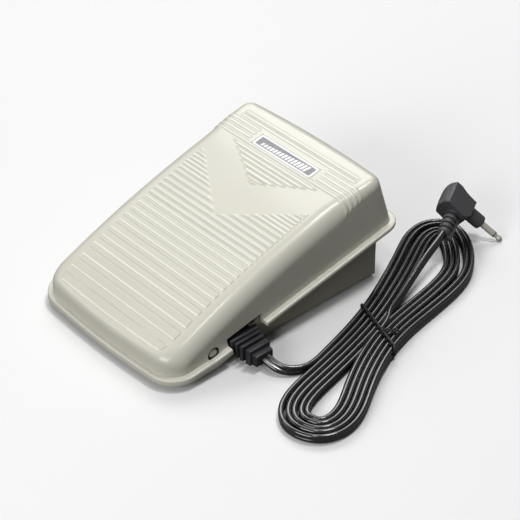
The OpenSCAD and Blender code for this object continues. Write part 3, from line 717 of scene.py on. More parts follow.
def wall_station(x, y, row):
    """Fillet direction, foot of the wall and flange normal, each as x and y."""
    sx = 1 if x > 0 else -1
    if row == 0:
        return 0, -1, x, FRONT_CORNER_Y - FOOT_FRONT_RADIUS - foot_bow(x, FOOT_FRONT_BOW), 0, -1
    if row == last_row:
        foot_x = x * FOOT_REAR_X / REAR_CORNER_X
        foot_y = FOOT_REAR_Y + FOOT_REAR_RADIUS + foot_bow(foot_x, FOOT_REAR_BOW)
        return 0, 1, foot_x, foot_y, 0, 1
    if y < FRONT_CORNER_Y:
        angle = math.asin(min(1, (FRONT_CORNER_Y - y) / FRONT_CORNER_DEPTH))
        c, s = math.cos(angle), math.sin(angle)
        out_x, out_y = 9.8 * c, 3.1 * s      # the fillets turn the corner as an ellipse
        d = math.hypot(out_x, out_y)
        foot_x = sx * (FOOT_FRONT_X + FOOT_FRONT_RADIUS * c)
        foot_y = FRONT_CORNER_Y - FOOT_FRONT_RADIUS * s - foot_bow(foot_x, FOOT_FRONT_BOW) * s
        return sx * out_x / d, -out_y / d, foot_x, foot_y, sx * c, -s
    if y > REAR_CORNER_Y:
        angle = math.asin(min(1, (y - REAR_CORNER_Y) / REAR_CORNER))
        c, s = math.cos(angle), math.sin(angle)
        foot_x = sx * (FOOT_REAR_X + FOOT_REAR_RADIUS * c)
        foot_y = FOOT_REAR_Y + FOOT_REAR_RADIUS * s + foot_bow(foot_x, FOOT_REAR_BOW) * s
        return sx * c, s, foot_x, foot_y, sx * c, s
    along = float(smooth((y - FOOT_SHIFT_Y) / (REAR_CORNER_Y - FOOT_SHIFT_Y)))
    shift = (FOOT_REAR_Y - REAR_CORNER_Y) * along ** 1.2
    return sx, 0, sx * FOOT_HALF, y + shift, sx, 0


stations = [wall_station(x, y, row) for x, y, row in zip(edge_x, row_y, edge_row)]
out_x, out_y, foot_x, foot_y, normal_x, normal_y = np.array(stations, float).T
foot_z = lip_top_z(foot_y)
edge_z = top_z(edge_y) - FIELD_DROP

# Draft of the wall, by where it faces
DRAFT_SIDE, DRAFT_REAR, DRAFT_FRONT = 0.9, 15.7, 3.1      # degrees; rear and front are added
draft = np.radians(DRAFT_SIDE + DRAFT_REAR * np.clip(out_y, 0, 1) ** 2
                   + DRAFT_FRONT * np.clip(-out_y, 0, 1) ** 2)
angle_top = np.arctan(top_slope(edge_y) * out_y)
angle_wall = -(math.pi / 2 - draft)
reach = np.hypot(foot_x - edge_x, foot_y - edge_y)
on_side = ((row_y > FRONT_CORNER_Y) & (row_y <= REAR_CORNER_Y)
           & (edge_row != 0) & (edge_row != last_row))
reach = np.where(on_side, np.abs(foot_x - edge_x), reach)

# Fillet radius that makes arc and wall meet
fillet = (reach - (edge_z - foot_z) * np.tan(draft)) / (
    (np.sin(angle_top) - np.sin(angle_wall))
    + (np.cos(angle_wall) - np.cos(angle_top)) * np.tan(draft))
# The rear corner eases from the side radius to the rear one
corner = (row_y > REAR_CORNER_Y) & (edge_row != last_row)
corner_row = int(np.searchsorted(rows, REAR_CORNER_Y))
side_fillet = fillet[(edge_row == corner_row - 1) & (edge_col == last_col)][0]
rear_fillet = fillet[(edge_row == last_row) & (edge_col == last_col - 1)][0]
t = np.abs(out_y[corner])
fillet[corner] = side_fillet * (1 - t) + rear_fillet * t
fillet = np.clip(fillet, 2.2, 9.9)


def fillet_arc(share):
    """Outward travel, height change and surface angle at a share of the fillet."""
    angle = angle_top + (angle_wall - angle_top) * share
    return (fillet * (np.sin(angle_top) - np.sin(angle)),
            fillet * (np.cos(angle) - np.cos(angle_top)), angle)


# ------------------------------------------------------------------ pedal cover: rings
ARC_STEPS = 15
WALL_SHARES = (0.15, 0.35, 0.55, 0.75, 0.9, 0.965)
# Flange sections: distance out from the foot, height above the flange face
LIP_TOP = [(0.02, 0.22), (0.10, 0.05), (0.30, 0.0), (1.3, 0.0), (2.2, -0.02), (2.65, -0.12),
           (2.98, -0.32), (3.2, -0.62), (3.3, -1.0)]
LIP_BOTTOM = [(3.3, 0.75), (3.24, 0.42), (3.05, 0.14), (2.75, 0.0), (0.5, 0.0)]
WALL_THICK = 2.1
lip_scale = 1 - 0.27 * np.clip(-normal_y, 0, 1) ** 2      # the lip is narrower along the front


def fillet_ring(share):
    out, rise, angle = fillet_arc(share)
    x, y = edge_x + out_x * out, edge_y + out_y * out
    # bars wrap down over the side fillets and fade out near the wall
    lift = (bar_height(x, y, ("side", "full")) * (np.abs(out_x) > 0.9)
            * smooth((0.86 - share) / 0.10 + 0.5))
    lift = lift + (bar_height(x, y, ("front",)) * (y < -60) * (np.abs(x) < 43.5)
                   * smooth((0.75 - share) / 0.3 + 0.5))
    nx, nz = -np.sin(angle), np.cos(angle)
    return np.stack([x + out_x * nx * lift, y + out_y * nx * lift,
                     edge_z + rise + nz * lift], -1)


def lip_ring(out, rise, face_z):
    x = foot_x + normal_x * out * lip_scale
    y = foot_y + normal_y * out * lip_scale
    return np.stack([x, y, face_z(y) + rise], -1)


def outer_rings():
    rings = [fillet_ring(step / ARC_STEPS) for step in range(1, ARC_STEPS + 1)]
    wall_top = rings[-1]
    foot = np.stack([foot_x, foot_y, foot_z], -1)
    rings += [wall_top + (foot - wall_top) * share for share in WALL_SHARES]
    rings += [lip_ring(out, rise, lip_top_z) for out, rise in LIP_TOP]
    return rings + [lip_ring(out, rise, lip_bottom_z) for out, rise in LIP_BOTTOM]


def inner_rings():
    """From the rim up the inside of the wall and fillet, on the coarser net."""
    y = foot_y - normal_y * WALL_THICK
    rings = [np.stack([foot_x - normal_x * WALL_THICK, y, lip_bottom_z(y)], -1)]
    out, rise, _ = fillet_arc(1.0)
    out = out - WALL_THICK
    rings.append(np.stack([edge_x + out_x * out, edge_y + out_y * out, edge_z + rise], -1))
    for share in (0.6, 0.25, 0.0):
        out, rise, angle = fillet_arc(share)
        out = out + np.sin(angle) * WALL_THICK
        rings.append(np.stack([edge_x + out_x * out, edge_y + out_y * out,
                               edge_z + rise - np.cos(angle) * WALL_THICK], -1))
    return [ring[::INNER_STEP] for ring in rings]


def cover_mesh():
    """Outer top, rings down to the lip and up inside, then the inner top."""
    def grid_index(j, i):
        return j * (last_col + 1) + i

    verts = [on_top(grid_x, grid_y, bar_height(grid_x, grid_y)).reshape(-1, 3)]
    faces = [(grid_index(j, i), grid_index(j, i + 1), grid_index(j + 1, i + 1),
              grid_index(j + 1, i)) for j in range(last_row) for i in range(last_col)]
    previous = [grid_index(j, i) for j, i in zip(edge_row, edge_col)]
    count = len(verts[0])

    for q, ring in enumerate(outer_rings() + inner_rings()):
        verts.append(ring)
        n = len(ring)
        current = [count + k for k in range(n)]
        for k in range(n):
            k2 = (k + 1) % n
            if len(previous) > n:      # one coarse edge takes up several fine ones
                fine = [previous[(INNER_STEP * k + s) % edge_count]
                        for s in range(INNER_STEP, 0, -1)]
                faces.append(tuple([previous[INNER_STEP * k], current[k], current[k2]] + fine))
            else:
                faces.append((previous[k], current[k], current[k2], previous[k2]))
        previous = current
        count += n

    index = {(int(j), int(i)): vert for j, i, vert in
             zip(edge_row[::INNER_STEP], edge_col[::INNER_STEP], previous)}
    inner_rows = list(range(0, last_row + 1, INNER_STEP))
    inner_cols = list(range(0, last_col + 1, INNER_STEP))
    inner = []
    for j in inner_rows:
        for i in inner_cols:
            if (j, i) not in index:
                index[(j, i)] = count + len(inner)
                inner.append(on_top(grid_x[j, i], grid_y[j, i], -WALL_THICK))
    verts.append(np.array(inner))
    for j, j2 in zip(inner_rows, inner_rows[1:]):
        for i, i2 in zip(inner_cols, inner_cols[1:]):
            faces.append((index[(j, i)], index[(j2, i)], index[(j2, i2)], index[(j, i2)]))
    return np.concatenate(verts), faces


# ------------------------------------------------------------------ pedal cover: object
HINGE_Y, HINGE_Z = -46.0, 11.2
# Stepped pin hole, (radius, distance from the middle of the pedal)
PIN_HOLE = [(0, 44), (2.55, 44), (2.55, 48.9), (3.55, 48.95), (3.7, 49.2), (3.7, 51.2),
            (3.8, 51.7), (3.95, 52.05), (0, 52.05)]


def vertices_mm(obj):
    flat = np.empty(len(obj.data.vertices) * 3)
    obj.data.vertices.foreach_get("co", flat)
    return flat.reshape(-1, 3) * 1000.0


def shade_pin_recesses(obj):
    points = vertices_mm(obj)
    line = obj.data.attributes["bar_light_and_shade"]
    values = np.empty(len(points))
    line.data.foreach_get("value", values)
    radius = np.hypot(points[:, 1] - HINGE_Y, points[:, 2] - HINGE_Z)
    half_x = np.abs(points[:, 0])
    # painted shade: the walls of the pin-hole recesses take the dark bar-line colour
    values[(radius < 3.73) & (radius > 2.4) & (half_x > 48.5) & (half_x < 51.55)] = -1.0
    line.data.foreach_set("value", values.astype(np.float32))


def build_cover():
    cover = new_object("pedal_cover", *cover_mesh(), COVER)
    fix_normals(cover)
    # painted highlight and painted shade lines along the bars, kept as a vertex attribute
    line = cover.data.attributes.new("bar_light_and_shade", "FLOAT", "POINT")
    line.data.foreach_set("value", painted_bar_lines(vertices_mm(cover)).astype(np.float32))
    # notch in the right side for the cord's strain relief
    notch = Matrix.Translation((40, -26.2, 18.1)) @ turn(TILT_DEGREES, "X")
    cut(cover, "c1", *rounded_box((6, 20), (-11.7, 11.7), (-24, 0.0), 0.55, place=notch))
    for side in (-1, 1):
        outward = Matrix.Translation((0, HINGE_Y, HINGE_Z)) @ turn(90 * side, "Y")
        cut(cover, "c2", *lathe(PIN_HOLE, 48, outward))
    shade_pin_recesses(cover)
    shade_smooth(cover, 32)
    register(cover, "pedal", "top_cover")


def build_bosses():
    """Moulded features inside the cover: posts, the spring seat and a rib."""
    rear_y, spring_y = 56, 52
    ceiling = float(top_z(rear_y)) - 2.2
    parts = []
    for side in (-1, 1):
        parts.append(lathe([(0, 33.78), (3.1, 33.78), (3.45, 34.15), (3.5, ceiling), (0, ceiling)],
                           32, Matrix.Translation((30 * side, rear_y, 0))))
        parts.append(lathe([(0, 18.0), (3.7, 18.0), (4, 18.3), (4.1, 21.4), (0, 21.4)],
                           32, Matrix.Translation((25 * side, -58, 0))))
    parts.append(lathe([(0, 37.5), (3.6, 37.5), (4.4, 38.4), (4.4, 44.2), (7.9, 44.2),
                        (8.3, 44.6), (8.3, 56.6), (0, 56.6)],
                       40, Matrix.Translation((0, spring_y, 0))))
    # rib outline in y and z, extruded along x
    y0, y1 = 8, 28.5
    outline = [(y0, 36), (20, 36), (23.5, 40), (27, 45.3), (y1, 48),
               (y1, float(top_z(y1)) - 1.2), (y0, float(top_z(y0)) - 1.2)]
    upright = Matrix(((0, 0, 1, 0), (1, 0, 0, 0), (0, 1, 0, 0), (0, 0, 0, 1)))
    parts.append(prism(outline, -9.9, -7.2, 0.3, 2, upright))
    add_piece("cover_bosses", parts, COVER, "pedal")


build_cover()
build_bosses()

# ------------------------------------------------------------------ label
LABEL_Y = (LABEL_Y0 + LABEL_Y1) / 2
LABEL_PLACE = (Matrix.Translation((0, LABEL_Y, top_z(LABEL_Y) - FIELD_DROP))
               @ Matrix.Rotation(math.atan(top_slope(LABEL_Y)), 4, "X"))
LABEL_BOTTOM = -0.46


def rounded_rect(half_x, half_y, radius, steps=6):
    points = []
    for sx, sy, start in ((1, 1, 0), (-1, 1, 90), (-1, -1, 180), (1, -1, 270)):
        for k in range(steps + 1):
            a = math.radians(start + 90 * k / steps)
            points.append((sx * (half_x - radius) + radius * math.cos(a),
                           sy * (half_y - radius) + radius * math.sin(a)))
    return points


def frame_ring(outer, inner, z0, z1, place):
    """A flat frame between two outlines with the same number of points."""
    n = len(outer)
    loops = ((outer, z1), (inner, z1), (inner, z0), (outer, z0))
    verts = [tuple(place @ Vector((x, y, z))) for outline, z in loops for x, y in outline]
    faces = []
    for a in range(4):
        b = (a + 1) % 4
        for k in range(n):
            k2 = (k + 1) % n
            faces.append((a * n + k, a * n + k2, b * n + k2, b * n + k))
    return verts, faces


def build_label_frame():
    ring = frame_ring(rounded_rect(22.0, 4.05, 0.9), rounded_rect(20.5, 2.85, 0.35),
                      LABEL_BOTTOM, 0.12, LABEL_PLACE)
    plate = new_object("label_frame", *ring, PLATE)
    bevel = plate.modifiers.new("b", "BEVEL")
    bevel.width = 0.08 * MM
    bevel.segments = 2
    bevel.limit_method = "ANGLE"
    apply_modifiers(plate)
    fix_normals(plate)
    shade_smooth(plate, 50)
    register(plate, "pedal", "nameplate")


def build_label_face():
    """The dark panel and a row of slanted bars that grow to the right."""
    panel = prism(rounded_rect(20.45, 2.8, 0.3, 3), LABEL_BOTTOM, 0.02, 0.03, 1, LABEL_PLACE)
    add_piece("label_field_panel", [panel], FIELD, "pedal")
    count, first_x, pitch, width = 15, -17.2, 2.28, 1.42
    bottom, shortest, growth, slant = -2.2, 2.0, 2.4, 0.28
    parts = []
    for k in range(count):
        x = first_x + k * pitch
        height = shortest + growth * (k / (count - 1))
        top, lean = bottom + height, slant * height
        outline = [(x, bottom), (x + width, bottom), (x + width + lean, top), (x + lean, top)]
        parts.append(prism(outline, 0.0, 0.10, 0.03, 1, LABEL_PLACE))
    add_piece("label_speed_bars", parts, GLYPH, "pedal")


build_label_frame()
build_label_face()

# ------------------------------------------------------------------ cord
CORD_Z = 2.85            # centre height of a strand on the floor
TURNS = 5
TIE_POINTS = (0, 13)     # points of the loop held by the tie
# Outer strand of the coil, x and y, clockwise seen from above
COIL = np.array([
    [70, 39], [60, 59], [47.8, 84], [37.6, 99], [34.2, 114], [39, 125], [49, 129.4],
    [62.2, 125.3], [75.6, 114.6], [85.9, 102.5], [91.1, 84.2], [94.3, 64.1], [97.3, 45.6],
    [102.4, 28], [111.4, 9.8], [119.5, -3.2], [126.5, -13.2], [132, -27], [130.5, -40],
    [123, -48.6], [113, -52], [103.5, -51], [94, -44.5], [87.5, -31.8], [84.3, -16.3],
    [80.9, -1], [76, 19]], float)
COIL_POINTS = len(COIL)
# x, y, z from the strain relief down to the coil
LEAD_IN = [[44, -24.9, 7.7], [52, -24.9, 7.7], [60, -25, 7.5], [67, -25.2, 6.6],
           [73, -24.6, 4.6], [78.5, -21.4, 3.2], [82.2, -15, CORD_Z], [82.7, -8, CORD_Z]]
# x, y, z from the coil up to the plug
LEAD_OUT = [[80.2, 44.5, 4.6], [77.6, 54.5, 6.2], [74.0, 65.5, 8.8], [70.4, 77, 12.2],
            [67.0, 88.5, 15], [64.0, 98.5, 16.5], [61.9, 104.2, 17.2]]
PATH_STEPS = 7           # path points to a control point
LOBE_RADIUS, LOBE_CENTRE, WEB_HALF = 1.40, 1.38, 0.42


def tie_lift(i):
    """The strands rise where the tie passes under them."""
    nearest = min(min(abs(i - t), COIL_POINTS - abs(i - t)) for t in TIE_POINTS)
    return max(0.0, 1.35 - 0.62 * nearest)


def coil_point(k):
    """Control point k of the coil, counted through all its turns."""
    i = k % COIL_POINTS
    turns = max(k, 0) / COIL_POINTS
    share = i / COIL_POINTS
    along = COIL[(i + 1) % COIL_POINTS] - COIL[(i - 1) % COIL_POINTS]
    along = along / np.linalg.norm(along)
    inward = np.array([along[1], -along[0]])
    # the outer strands stand away from the rest at the two ends of the bundle
    rear_end = float(smooth(1 - abs(share - 0.22) / 0.26))
    front_end = float(smooth(1 - abs(share - 0.74) / 0.18))
    offset = (3.0 * turns + 2.2 * rear_end * float(smooth((turns - 1.25) / 0.7))
              + 1.0 * front_end * float(smooth((turns - 0.8) / 0.7))
              + 0.8 * front_end * float(smooth((turns - 2.8) / 0.7)))
    x, y = COIL[i] + inward * offset
    return [x, y, CORD_Z + tie_lift(i)]


def catmull(control, steps):
    """Catmull-Rom curve through the control points."""
    out = []
    n = len(control)
    for i in range(n - 1):
        a, b = control[max(0, i - 1)], control[i]
        c, d = control[i + 1], control[min(n - 1, i + 2)]
        for s in range(steps):
            t = s / steps
            out.append(0.5 * (2 * b + (c - a) * t + (2 * a - 5 * b + 4 * c - d) * t * t
                              + (3 * b - a - 3 * c + d) * t ** 3))
    out.append(control[-1])
    return np.array(out)


def softened(path, reach=12, spread=4.5, end_points=40.0):
    """Smooth the path with a Gaussian, easing off towards its two ends."""
    kernel = np.exp(-0.5 * (np.arange(-reach, reach + 1) / spread) ** 2)
    kernel /= kernel.sum()
    soft = np.stack([np.convolve(np.pad(path[:, axis], reach, mode="edge"), kernel,
                                 mode="valid") for axis in range(3)], 1)
    steps = np.arange(len(path))
    ease = smooth(np.minimum(steps, steps[::-1]) / end_points)[:, None]
    return path * (1 - ease) + soft * ease


def cord_profile(points=11):
    """Upright figure-8 section of a flat twin cord: two round lobes and a narrow web."""
    gap = math.asin(WEB_HALF / LOBE_RADIUS)          # half angle taken up by the web
    profile = []
    for start, centre in ((-math.pi / 2, LOBE_CENTRE), (math.pi / 2, -LOBE_CENTRE)):
        for k in range(points):
            a = start + gap + (2 * math.pi - 2 * gap) * k / (points - 1)
            profile.append((LOBE_RADIUS * math.cos(a), centre + LOBE_RADIUS * math.sin(a)))
    return np.array(profile)


def sweep(path, profile, twist):
    """Carry the section along the path, turned by the twist from upright."""
    n, m = len(path), len(profile)
    tangents = np.gradient(path, axis=0)
    tangents /= np.linalg.norm(tangents, axis=1)[:, None]
    verts = np.zeros((n, m, 3))
    for i, (tangent, a) in enumerate(zip(tangents, twist)):
        side = np.cross(tangent, np.array([0, 0, 1.0]))
        side /= np.linalg.norm(side)
        up = np.cross(side, tangent)
        turned_side = side * math.cos(a) + up * math.sin(a)
        turned_up = -side * math.sin(a) + up * math.cos(a)
        verts[i] = path[i] + profile[:, 0:1] * turned_side + profile[:, 1:2] * turned_up
    return verts.reshape(-1, 3), strip_faces(n, m)


def build_cord():
    coil = [coil_point(k) for k in range(-2, TURNS * COIL_POINTS + 1)]
    coil_end = len(LEAD_IN) + len(coil)
    path = softened(catmull(np.array(LEAD_IN + coil + LEAD_OUT), PATH_STEPS))
    # nearly flat at the strain relief, on edge in the bundle, with a slow lean
    station = np.arange(len(path)) / PATH_STEPS
    twist = np.radians(70) * (1 - smooth((station - 2.0) / 4.5))
    lean = np.radians(9) * np.sin(station * 2 * math.pi / COIL_POINTS * 2 + 0.6)
    twist += lean * smooth((station - 8) / 4) * (1 - smooth((station - coil_end + 3) / 3))
    verts, faces = sweep(path, cord_profile(), twist)
    verts[:, 2] = np.maximum(verts[:, 2], 0.02)      # stays above the floor
    add_piece("twin_cord", [(verts, faces)], CORD, "base", "power_cord",
              angle=60, recalc=True)


def build_tie():
    """A round black wire pulled round the bundle, its ends twisted."""
    half_width, bottom, top, radius = 19.3, 0.75, 7.75, 2.2
    side_step = 0.55     # most that a corner stands off the plane of the loop
    across = COIL[TIE_POINTS[1]] - COIL[TIE_POINTS[0]]
    place = (Matrix.Translation((85.7, 33.7, 0))
             @ Matrix.Rotation(math.atan2(across[1], across[0]), 4, "Z"))
    right, left = half_width - radius, -half_width + radius
    loop = []
    for x, z, start in ((right, top - radius, 0), (left, top - radius, 90),
                        (left, bottom + radius, 180), (right, bottom + radius, 270)):
        # the start angle only seeds an uneven offset here, so it is taken as radians
        y = side_step * math.sin(2 * start)
        for k in range(7):
            a = math.radians(start + 15 * k)
            corner_point = Vector((x + radius * math.cos(a), y, z + radius * math.sin(a)))
            loop.append(tuple(place @ corner_point))
    parts = [tube(np.array(loop), 0.62, 10, closed=True)]

    twist_start = place @ Vector((6.0, 0, 7.9))
    run_x, run_y, rise, fall, coil_radius, turns = 4.25, 6.3, 0.9, 1.0, 0.55, 2
    for end in (0, 1):
        strand = []
        for k in range(40):
            u = k / 39
            a = u * turns * 2 * math.pi + end * math.pi
            strand.append((twist_start.x + run_x * u + coil_radius * math.cos(a),
                           twist_start.y + run_y * u,
                           twist_start.z + rise - fall * u + coil_radius * math.sin(a)))
        parts.append(tube(np.array(strand), 0.5, 8))
    add_piece("wire_tie", parts, VINYL, "base", "cord_tie", angle=60,
              recalc=True)


build_cord()
build_tie()

# ------------------------------------------------------------------ strain relief
RELIEF_Y = -26.0
# Plates at the base: x, y and z ranges, edge radius
RELIEF_PLATES = [((43.6, 45.9), (-36.8, -15), (4.5, 16.4), 0.5),
                 ((45.6, 49.1), (-32.4, -19.6), (4.5, 12.6), 0.3),
                 ((48.8, 52.4), (-35.4, -16.6), (4.2, 13.4), 0.6)]
# Ribs: x range, half width, z range
RELIEF_RIBS = [((53.1, 54.9), 8.0, (3.4, 12.7)), ((56.3, 58.3), 7.5, (3.2, 12.4)),
               ((60.0, 63.3), 6.9, (3.0, 12.2))]
parts = [rounded_box(*plate) for plate in RELIEF_PLATES]
for xs, half, zs in RELIEF_RIBS:
    parts.append(rounded_box(xs, (RELIEF_Y - half, RELIEF_Y + half), zs, 0.38,
                             taper=(0.965, 0.97)))
# core under the ribs, then the end block
parts.append(rounded_box((52.0, 60.6), (RELIEF_Y - 5.3, RELIEF_Y + 5.3), (4.2, 9.8), 0.7,
                         taper=(0.94, 0.97)))
parts.append(rounded_box((63.1, 66.8), (RELIEF_Y - 5.6, RELIEF_Y + 5.9), (3.4, 10.2), 0.6,
                         segments=4, taper=(0.94, 0.94)))
add_piece("cord_relief_boot", parts, VINYL, "base", "strain_relief", angle=40)

# ------------------------------------------------------------------ plug
# Plug frame: +x runs out along the jack pin, -y towards the cord
PLUG_PLACE = (Matrix.Translation((62.0, 133.5, 9.75)) @ turn(33.5, "Z") @ turn(38, "Y")
              @ turn(10.2, "X"))
PIN_AXIS = PLUG_PLACE @ Matrix.Rotation(math.pi / 2, 4, "Y")
BOOT_ORIGIN = PLUG_PLACE @ Matrix.Translation((-17.2, 0, 0))
BOOT_AXIS = BOOT_ORIGIN @ Matrix.Rotation(math.pi / 2, 4, "X")
# Flag outline from the back face forwards, x and y: the +y edge and the -y edge
FLAG_TOP = [(-24.3, 7.0), (-23.0, 7.05), (-21.2, 7.0), (-20.0, 6.7), (-18.6, 6.05),
            (-17.0, 5.45), (-15.0, 4.9), (-13.0, 4.55), (-11.2, 4.35), (-9.6, 4.2)]
FLAG_BOTTOM = [(-24.3, -9.0), (-22.5, -9.25), (-20.5, -9.55), (-18.6, -9.8), (-16.8, -10.1),
               (-15.0, -10.4), (-13.4, -10.6), (-12.2, -10.2), (-10.7, -8.6), (-9.4, -6.6)]
FLAG_HALF_Z = 6.0
FLAG_ACROSS, FLAG_LAYERS = 9, 48     # points across y, steps through z
RIDGE_DEPTH, RIDGE_PITCH = 0.26, 1.2


def grid_loop(grid):
    """The edge of a grid of vertices, once round."""
    return ([row[0] for row in grid] + grid[-1][1:] + [row[-1] for row in grid[-2::-1]]
            + grid[0][-2:0:-1])


def shape_flag_back(bm):
    """Dome the back face and cut fine ridges into its middle."""
    for v in bm.verts:
        if v.co.x < -24.2:
            t = (v.co.y + 1.0) / 8.0
            u = v.co.z / FLAG_HALF_Z
            v.co.x -= 2.5 * max(0.0, 1 - u * u) * (1 - 0.25 * t * t)
            if abs(v.co.z) < 4.9 and -7.6 < v.co.y < 5.6:
                wave = math.cos(2 * math.pi * v.co.z / RIDGE_PITCH)
                v.co.x -= RIDGE_DEPTH * (0.5 + 0.5 * wave)


def flag_body():
    """Flag-shaped moulding: outline in x and y, domed back, softly rounded edges."""
    bm = bmesh.new()
    layers = []
    for side in (-1, 1):
        grid = []
        for (xa, ya), (xb, yb) in zip(FLAG_TOP, FLAG_BOTTOM):
            row = []
            for k in range(FLAG_ACROSS):
                t = k / (FLAG_ACROSS - 1)
                row.append(bm.verts.new((xa + (xb - xa) * t, ya + (yb - ya) * t,
                                         side * FLAG_HALF_Z)))
            grid.append(row)
        layers.append(grid)
    for grid, direction in zip(layers, (1, -1)):
        for a, b in zip(grid, grid[1:]):
            for k in range(FLAG_ACROSS - 1):
                bm.faces.new((a[k], b[k], b[k + 1], a[k + 1])[::direction])
    posts = []
    for low, high in zip(grid_loop(layers[0]), grid_loop(layers[1])):
        between = [bm.verts.new(low.co.lerp(high.co, k / FLAG_LAYERS))
                   for k in range(1, FLAG_LAYERS)]
        posts.append([low] + between + [high])
    for a, b in zip(posts, posts[1:] + posts[:1]):
        for k in range(FLAG_LAYERS):
            bm.faces.new((a[k], b[k], b[k + 1], a[k + 1]))
    shape_flag_back(bm)
    bmesh.ops.recalc_face_normals(bm, faces=bm.faces)
    bm.normal_update()
    sharp = [e for e in bm.edges
             if len(e.link_faces) == 2 and e.calc_face_angle(0) > math.radians(38)]
    return bevelled(bm, sharp, 0.32, 3, PLUG_PLACE)


def boot_profile():
    """Collar, four ribs with grooves between them, and a rounded end."""
    z, pitch = 11.3, 3.45
    profile = [(0, 9.0), (4.15, 9.0), (4.1, z)]
    for k in range(4):
        r = 3.95 - 0.12 * k
        profile += [(r - 0.9, z + 0.05), (r - 0.95, z + 0.95), (r - 0.15, z + 1.05),
                    (r, z + 1.3), (r, z + 3.1), (r - 0.12, z + 3.4)]
        z += pitch
    return profile + [(2.9, z + 0.1), (2.6, z + 0.45), (2.2, z + 0.6), (0, z + 0.6)]


NOSE = [(0, -11), (4.0, -11), (4.0, -1.5), (3.93, -0.95), (3.7, -0.45), (3.35, -0.12),
        (2.9, 0), (1.85, 0), (1.85, -1.0), (0, -1.0)]
add_piece("plug_flag", [flag_body(), lathe(NOSE, 56, PIN_AXIS)], PLUG, "base",
          "plug_body", angle=40)
boot_spine = rounded_box((2.0, 4.75), (-26.0, -8.5), (-1.5, 1.9), 0.5, place=BOOT_ORIGIN)
add_piece("plug_cord_boot", [lathe(boot_profile(), 44, BOOT_AXIS), boot_spine], PLUG, "base",
          "plug_boot", angle=38)

# Jack pin profiles, (radius, distance along the pin)
SLEEVE = [(1.0, -1.0), (1.75, -1.0), (1.75, 8.9), (1.68, 9.0), (1.0, 9.0)]
INSULATOR = [(0.6, -0.9), (0.97, -0.9), (0.97, 9.02), (1.7, 9.02), (1.74, 9.08), (1.74, 9.5),
             (1.7, 9.55), (0.6, 9.55)]
RING = [(0.6, 9.58), (1.68, 9.58), (1.75, 9.66), (1.75, 10.1), (1.55, 10.4), (1.12, 10.7),
        (0.6, 10.7)]
TIP = [(0, -0.9), (0.55, -0.9), (0.55, 10.72), (1.08, 10.74), (1.12, 11.2), (1.3, 11.9),
       (1.55, 12.5), (1.62, 12.9), (1.55, 13.25), (1.2, 13.9), (0.8, 14.5), (0.45, 14.88),
       (0, 15.0)]
# part, profile, material, slot, open bore, shading angle
JACK_PARTS = [
    ("sleeve", SLEEVE, NICKEL, "nickel", True, 30),
    ("insulator", INSULATOR, NYLON, "dark_plastic", True, 30),
    ("ring", RING, NICKEL, "nickel", True, 30),
    ("tip", TIP, NICKEL, "nickel", False, 40),
]
for part, profile, material, slot, bored, angle in JACK_PARTS:
    add_piece("jack_pin_" + part, [lathe(profile, 56, PIN_AXIS, closed=bored)], material,
              "base", "jack_" + part, angle=angle)

# ------------------------------------------------------------------ return spring
SPRING_Y, SPRING_BOTTOM, SPRING_HEIGHT = 52, 8.75, 33.5
COIL_RADIUS, COIL_WIRE, COILS, COIL_STEPS = 6.3, 0.75, 8, 40
END_SHARE, END_PITCH = 0.12, 0.35    # close-wound share at each end, and its relative pitch


def spring_rise(u):
    """Share of the height reached at share u of the wire."""
    if u < END_SHARE:
        return END_PITCH * u
    if u > 1 - END_SHARE:
        return 1 - END_PITCH * (1 - u)
    end = END_PITCH * END_SHARE
    return end + (u - END_SHARE) * (1 - 2 * end) / (1 - 2 * END_SHARE)


helix = []
for i in range(COILS * COIL_STEPS + 1):
    u = i / (COILS * COIL_STEPS)
    a = 2 * math.pi * COILS * u
    helix.append((COIL_RADIUS * math.cos(a), SPRING_Y + COIL_RADIUS * math.sin(a),
                  SPRING_BOTTOM + SPRING_HEIGHT * spring_rise(u)))
spring = new_object("return_coil", *tube(np.array(helix), COIL_WIRE), SPRING)
fix_normals(spring)
shade_smooth(spring, 60)
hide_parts("return_spring")
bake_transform(spring)

# ------------------------------------------------------------------ stage, light, camera
FLOOR_HALF = 3000
floor_corners = [(sx * FLOOR_HALF, sy * FLOOR_HALF, 0)
                 for sx, sy in ((-1, -1), (1, -1), (1, 1), (-1, 1))]
new_object("floor", floor_corners, [(0, 1, 2, 3)], FLOOR)


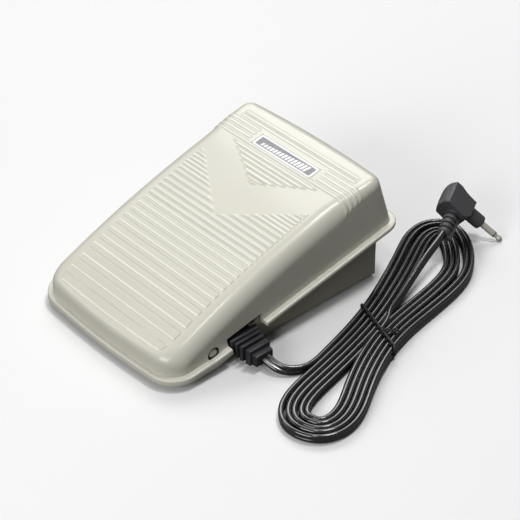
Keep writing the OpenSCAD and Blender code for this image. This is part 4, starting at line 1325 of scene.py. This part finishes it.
def build_world():
    """The room is dark to diffuse light, and pale to reflections."""
    world = bpy.data.worlds.new("studio")
    bpy.context.scene.world = world
    world.use_nodes = True
    tree = world.node_tree
    background = tree.nodes["Background"]
    background.inputs["Color"].default_value = (1, 1, 1, 1)
    path = add_node(tree, "LightPath")
    strength = add_node(tree, "MapRange", To_Min=0.04, To_Max=0.20,
                        Value=path.outputs["Is Glossy Ray"])
    tree.links.new(strength.outputs[0], background.inputs["Strength"])


def area_light(name, location, target, size, power):
    """A rectangular light, its size as width and height, turned to face the target."""
    light = bpy.data.lights.new(name, "AREA")
    light.shape = "RECTANGLE"
    light.size, light.size_y = size
    light.energy = power
    obj = bpy.data.objects.new(name, light)
    bpy.context.scene.collection.objects.link(obj)
    obj.location = location
    toward = Vector(target) - Vector(location)
    obj.rotation_euler = toward.to_track_quat("-Z", "Y").to_euler()


def build_camera():
    data = bpy.data.cameras.new("camera")
    data.sensor_width = 36
    data.lens = 137.377
    camera = bpy.data.objects.new("camera", data)
    bpy.context.scene.collection.objects.link(camera)
    x, y, z = 0.62775, -0.528, 0.63167
    azimuth, elevation = math.radians(48.358), math.radians(36.857)
    back = Vector((math.sin(azimuth) * math.cos(elevation),
                   -math.cos(azimuth) * math.cos(elevation), math.sin(elevation)))
    right = Vector((math.cos(azimuth), math.sin(azimuth), 0))
    up = back.cross(right)
    camera.matrix_world = Matrix(((right.x, up.x, back.x, x), (right.y, up.y, back.y, y),
                                  (right.z, up.z, back.z, z), (0, 0, 0, 1)))
    bpy.context.scene.camera = camera


build_world()
area_light("key_left", location=(-1.15, 0.35, 1.10), target=(0.0, 0.02, 0),
           size=(1.0, 0.8), power=3.8)
area_light("key_rear", location=(-0.70, 0.75, 1.20), target=(0.0, 0.02, 0),
           size=(1.0, 0.6), power=7.9)
area_light("overhead", location=(0.15, 0.35, 1.5), target=(0.04, 0.02, 0),
           size=(0.35, 0.35), power=8.2)
area_light("glint", location=(0.20, -0.27, 1.25), target=(0.03, -0.03, 0),
           size=(0.12, 0.2), power=1.6)
area_light("fill_left", location=(-1.15, -1.0, 0.85), target=(0.0, 0.0, 0.02),
           size=(0.75, 0.5), power=2.5)
area_light("front_soft", location=(0.25, -1.4, 0.70), target=(0.0, 0.0, 0.02),
           size=(1.0, 0.7), power=13.2)
build_camera()
bpy.context.scene.view_settings.view_transform = "Standard"
bpy.context.scene.view_settings.look = "None"

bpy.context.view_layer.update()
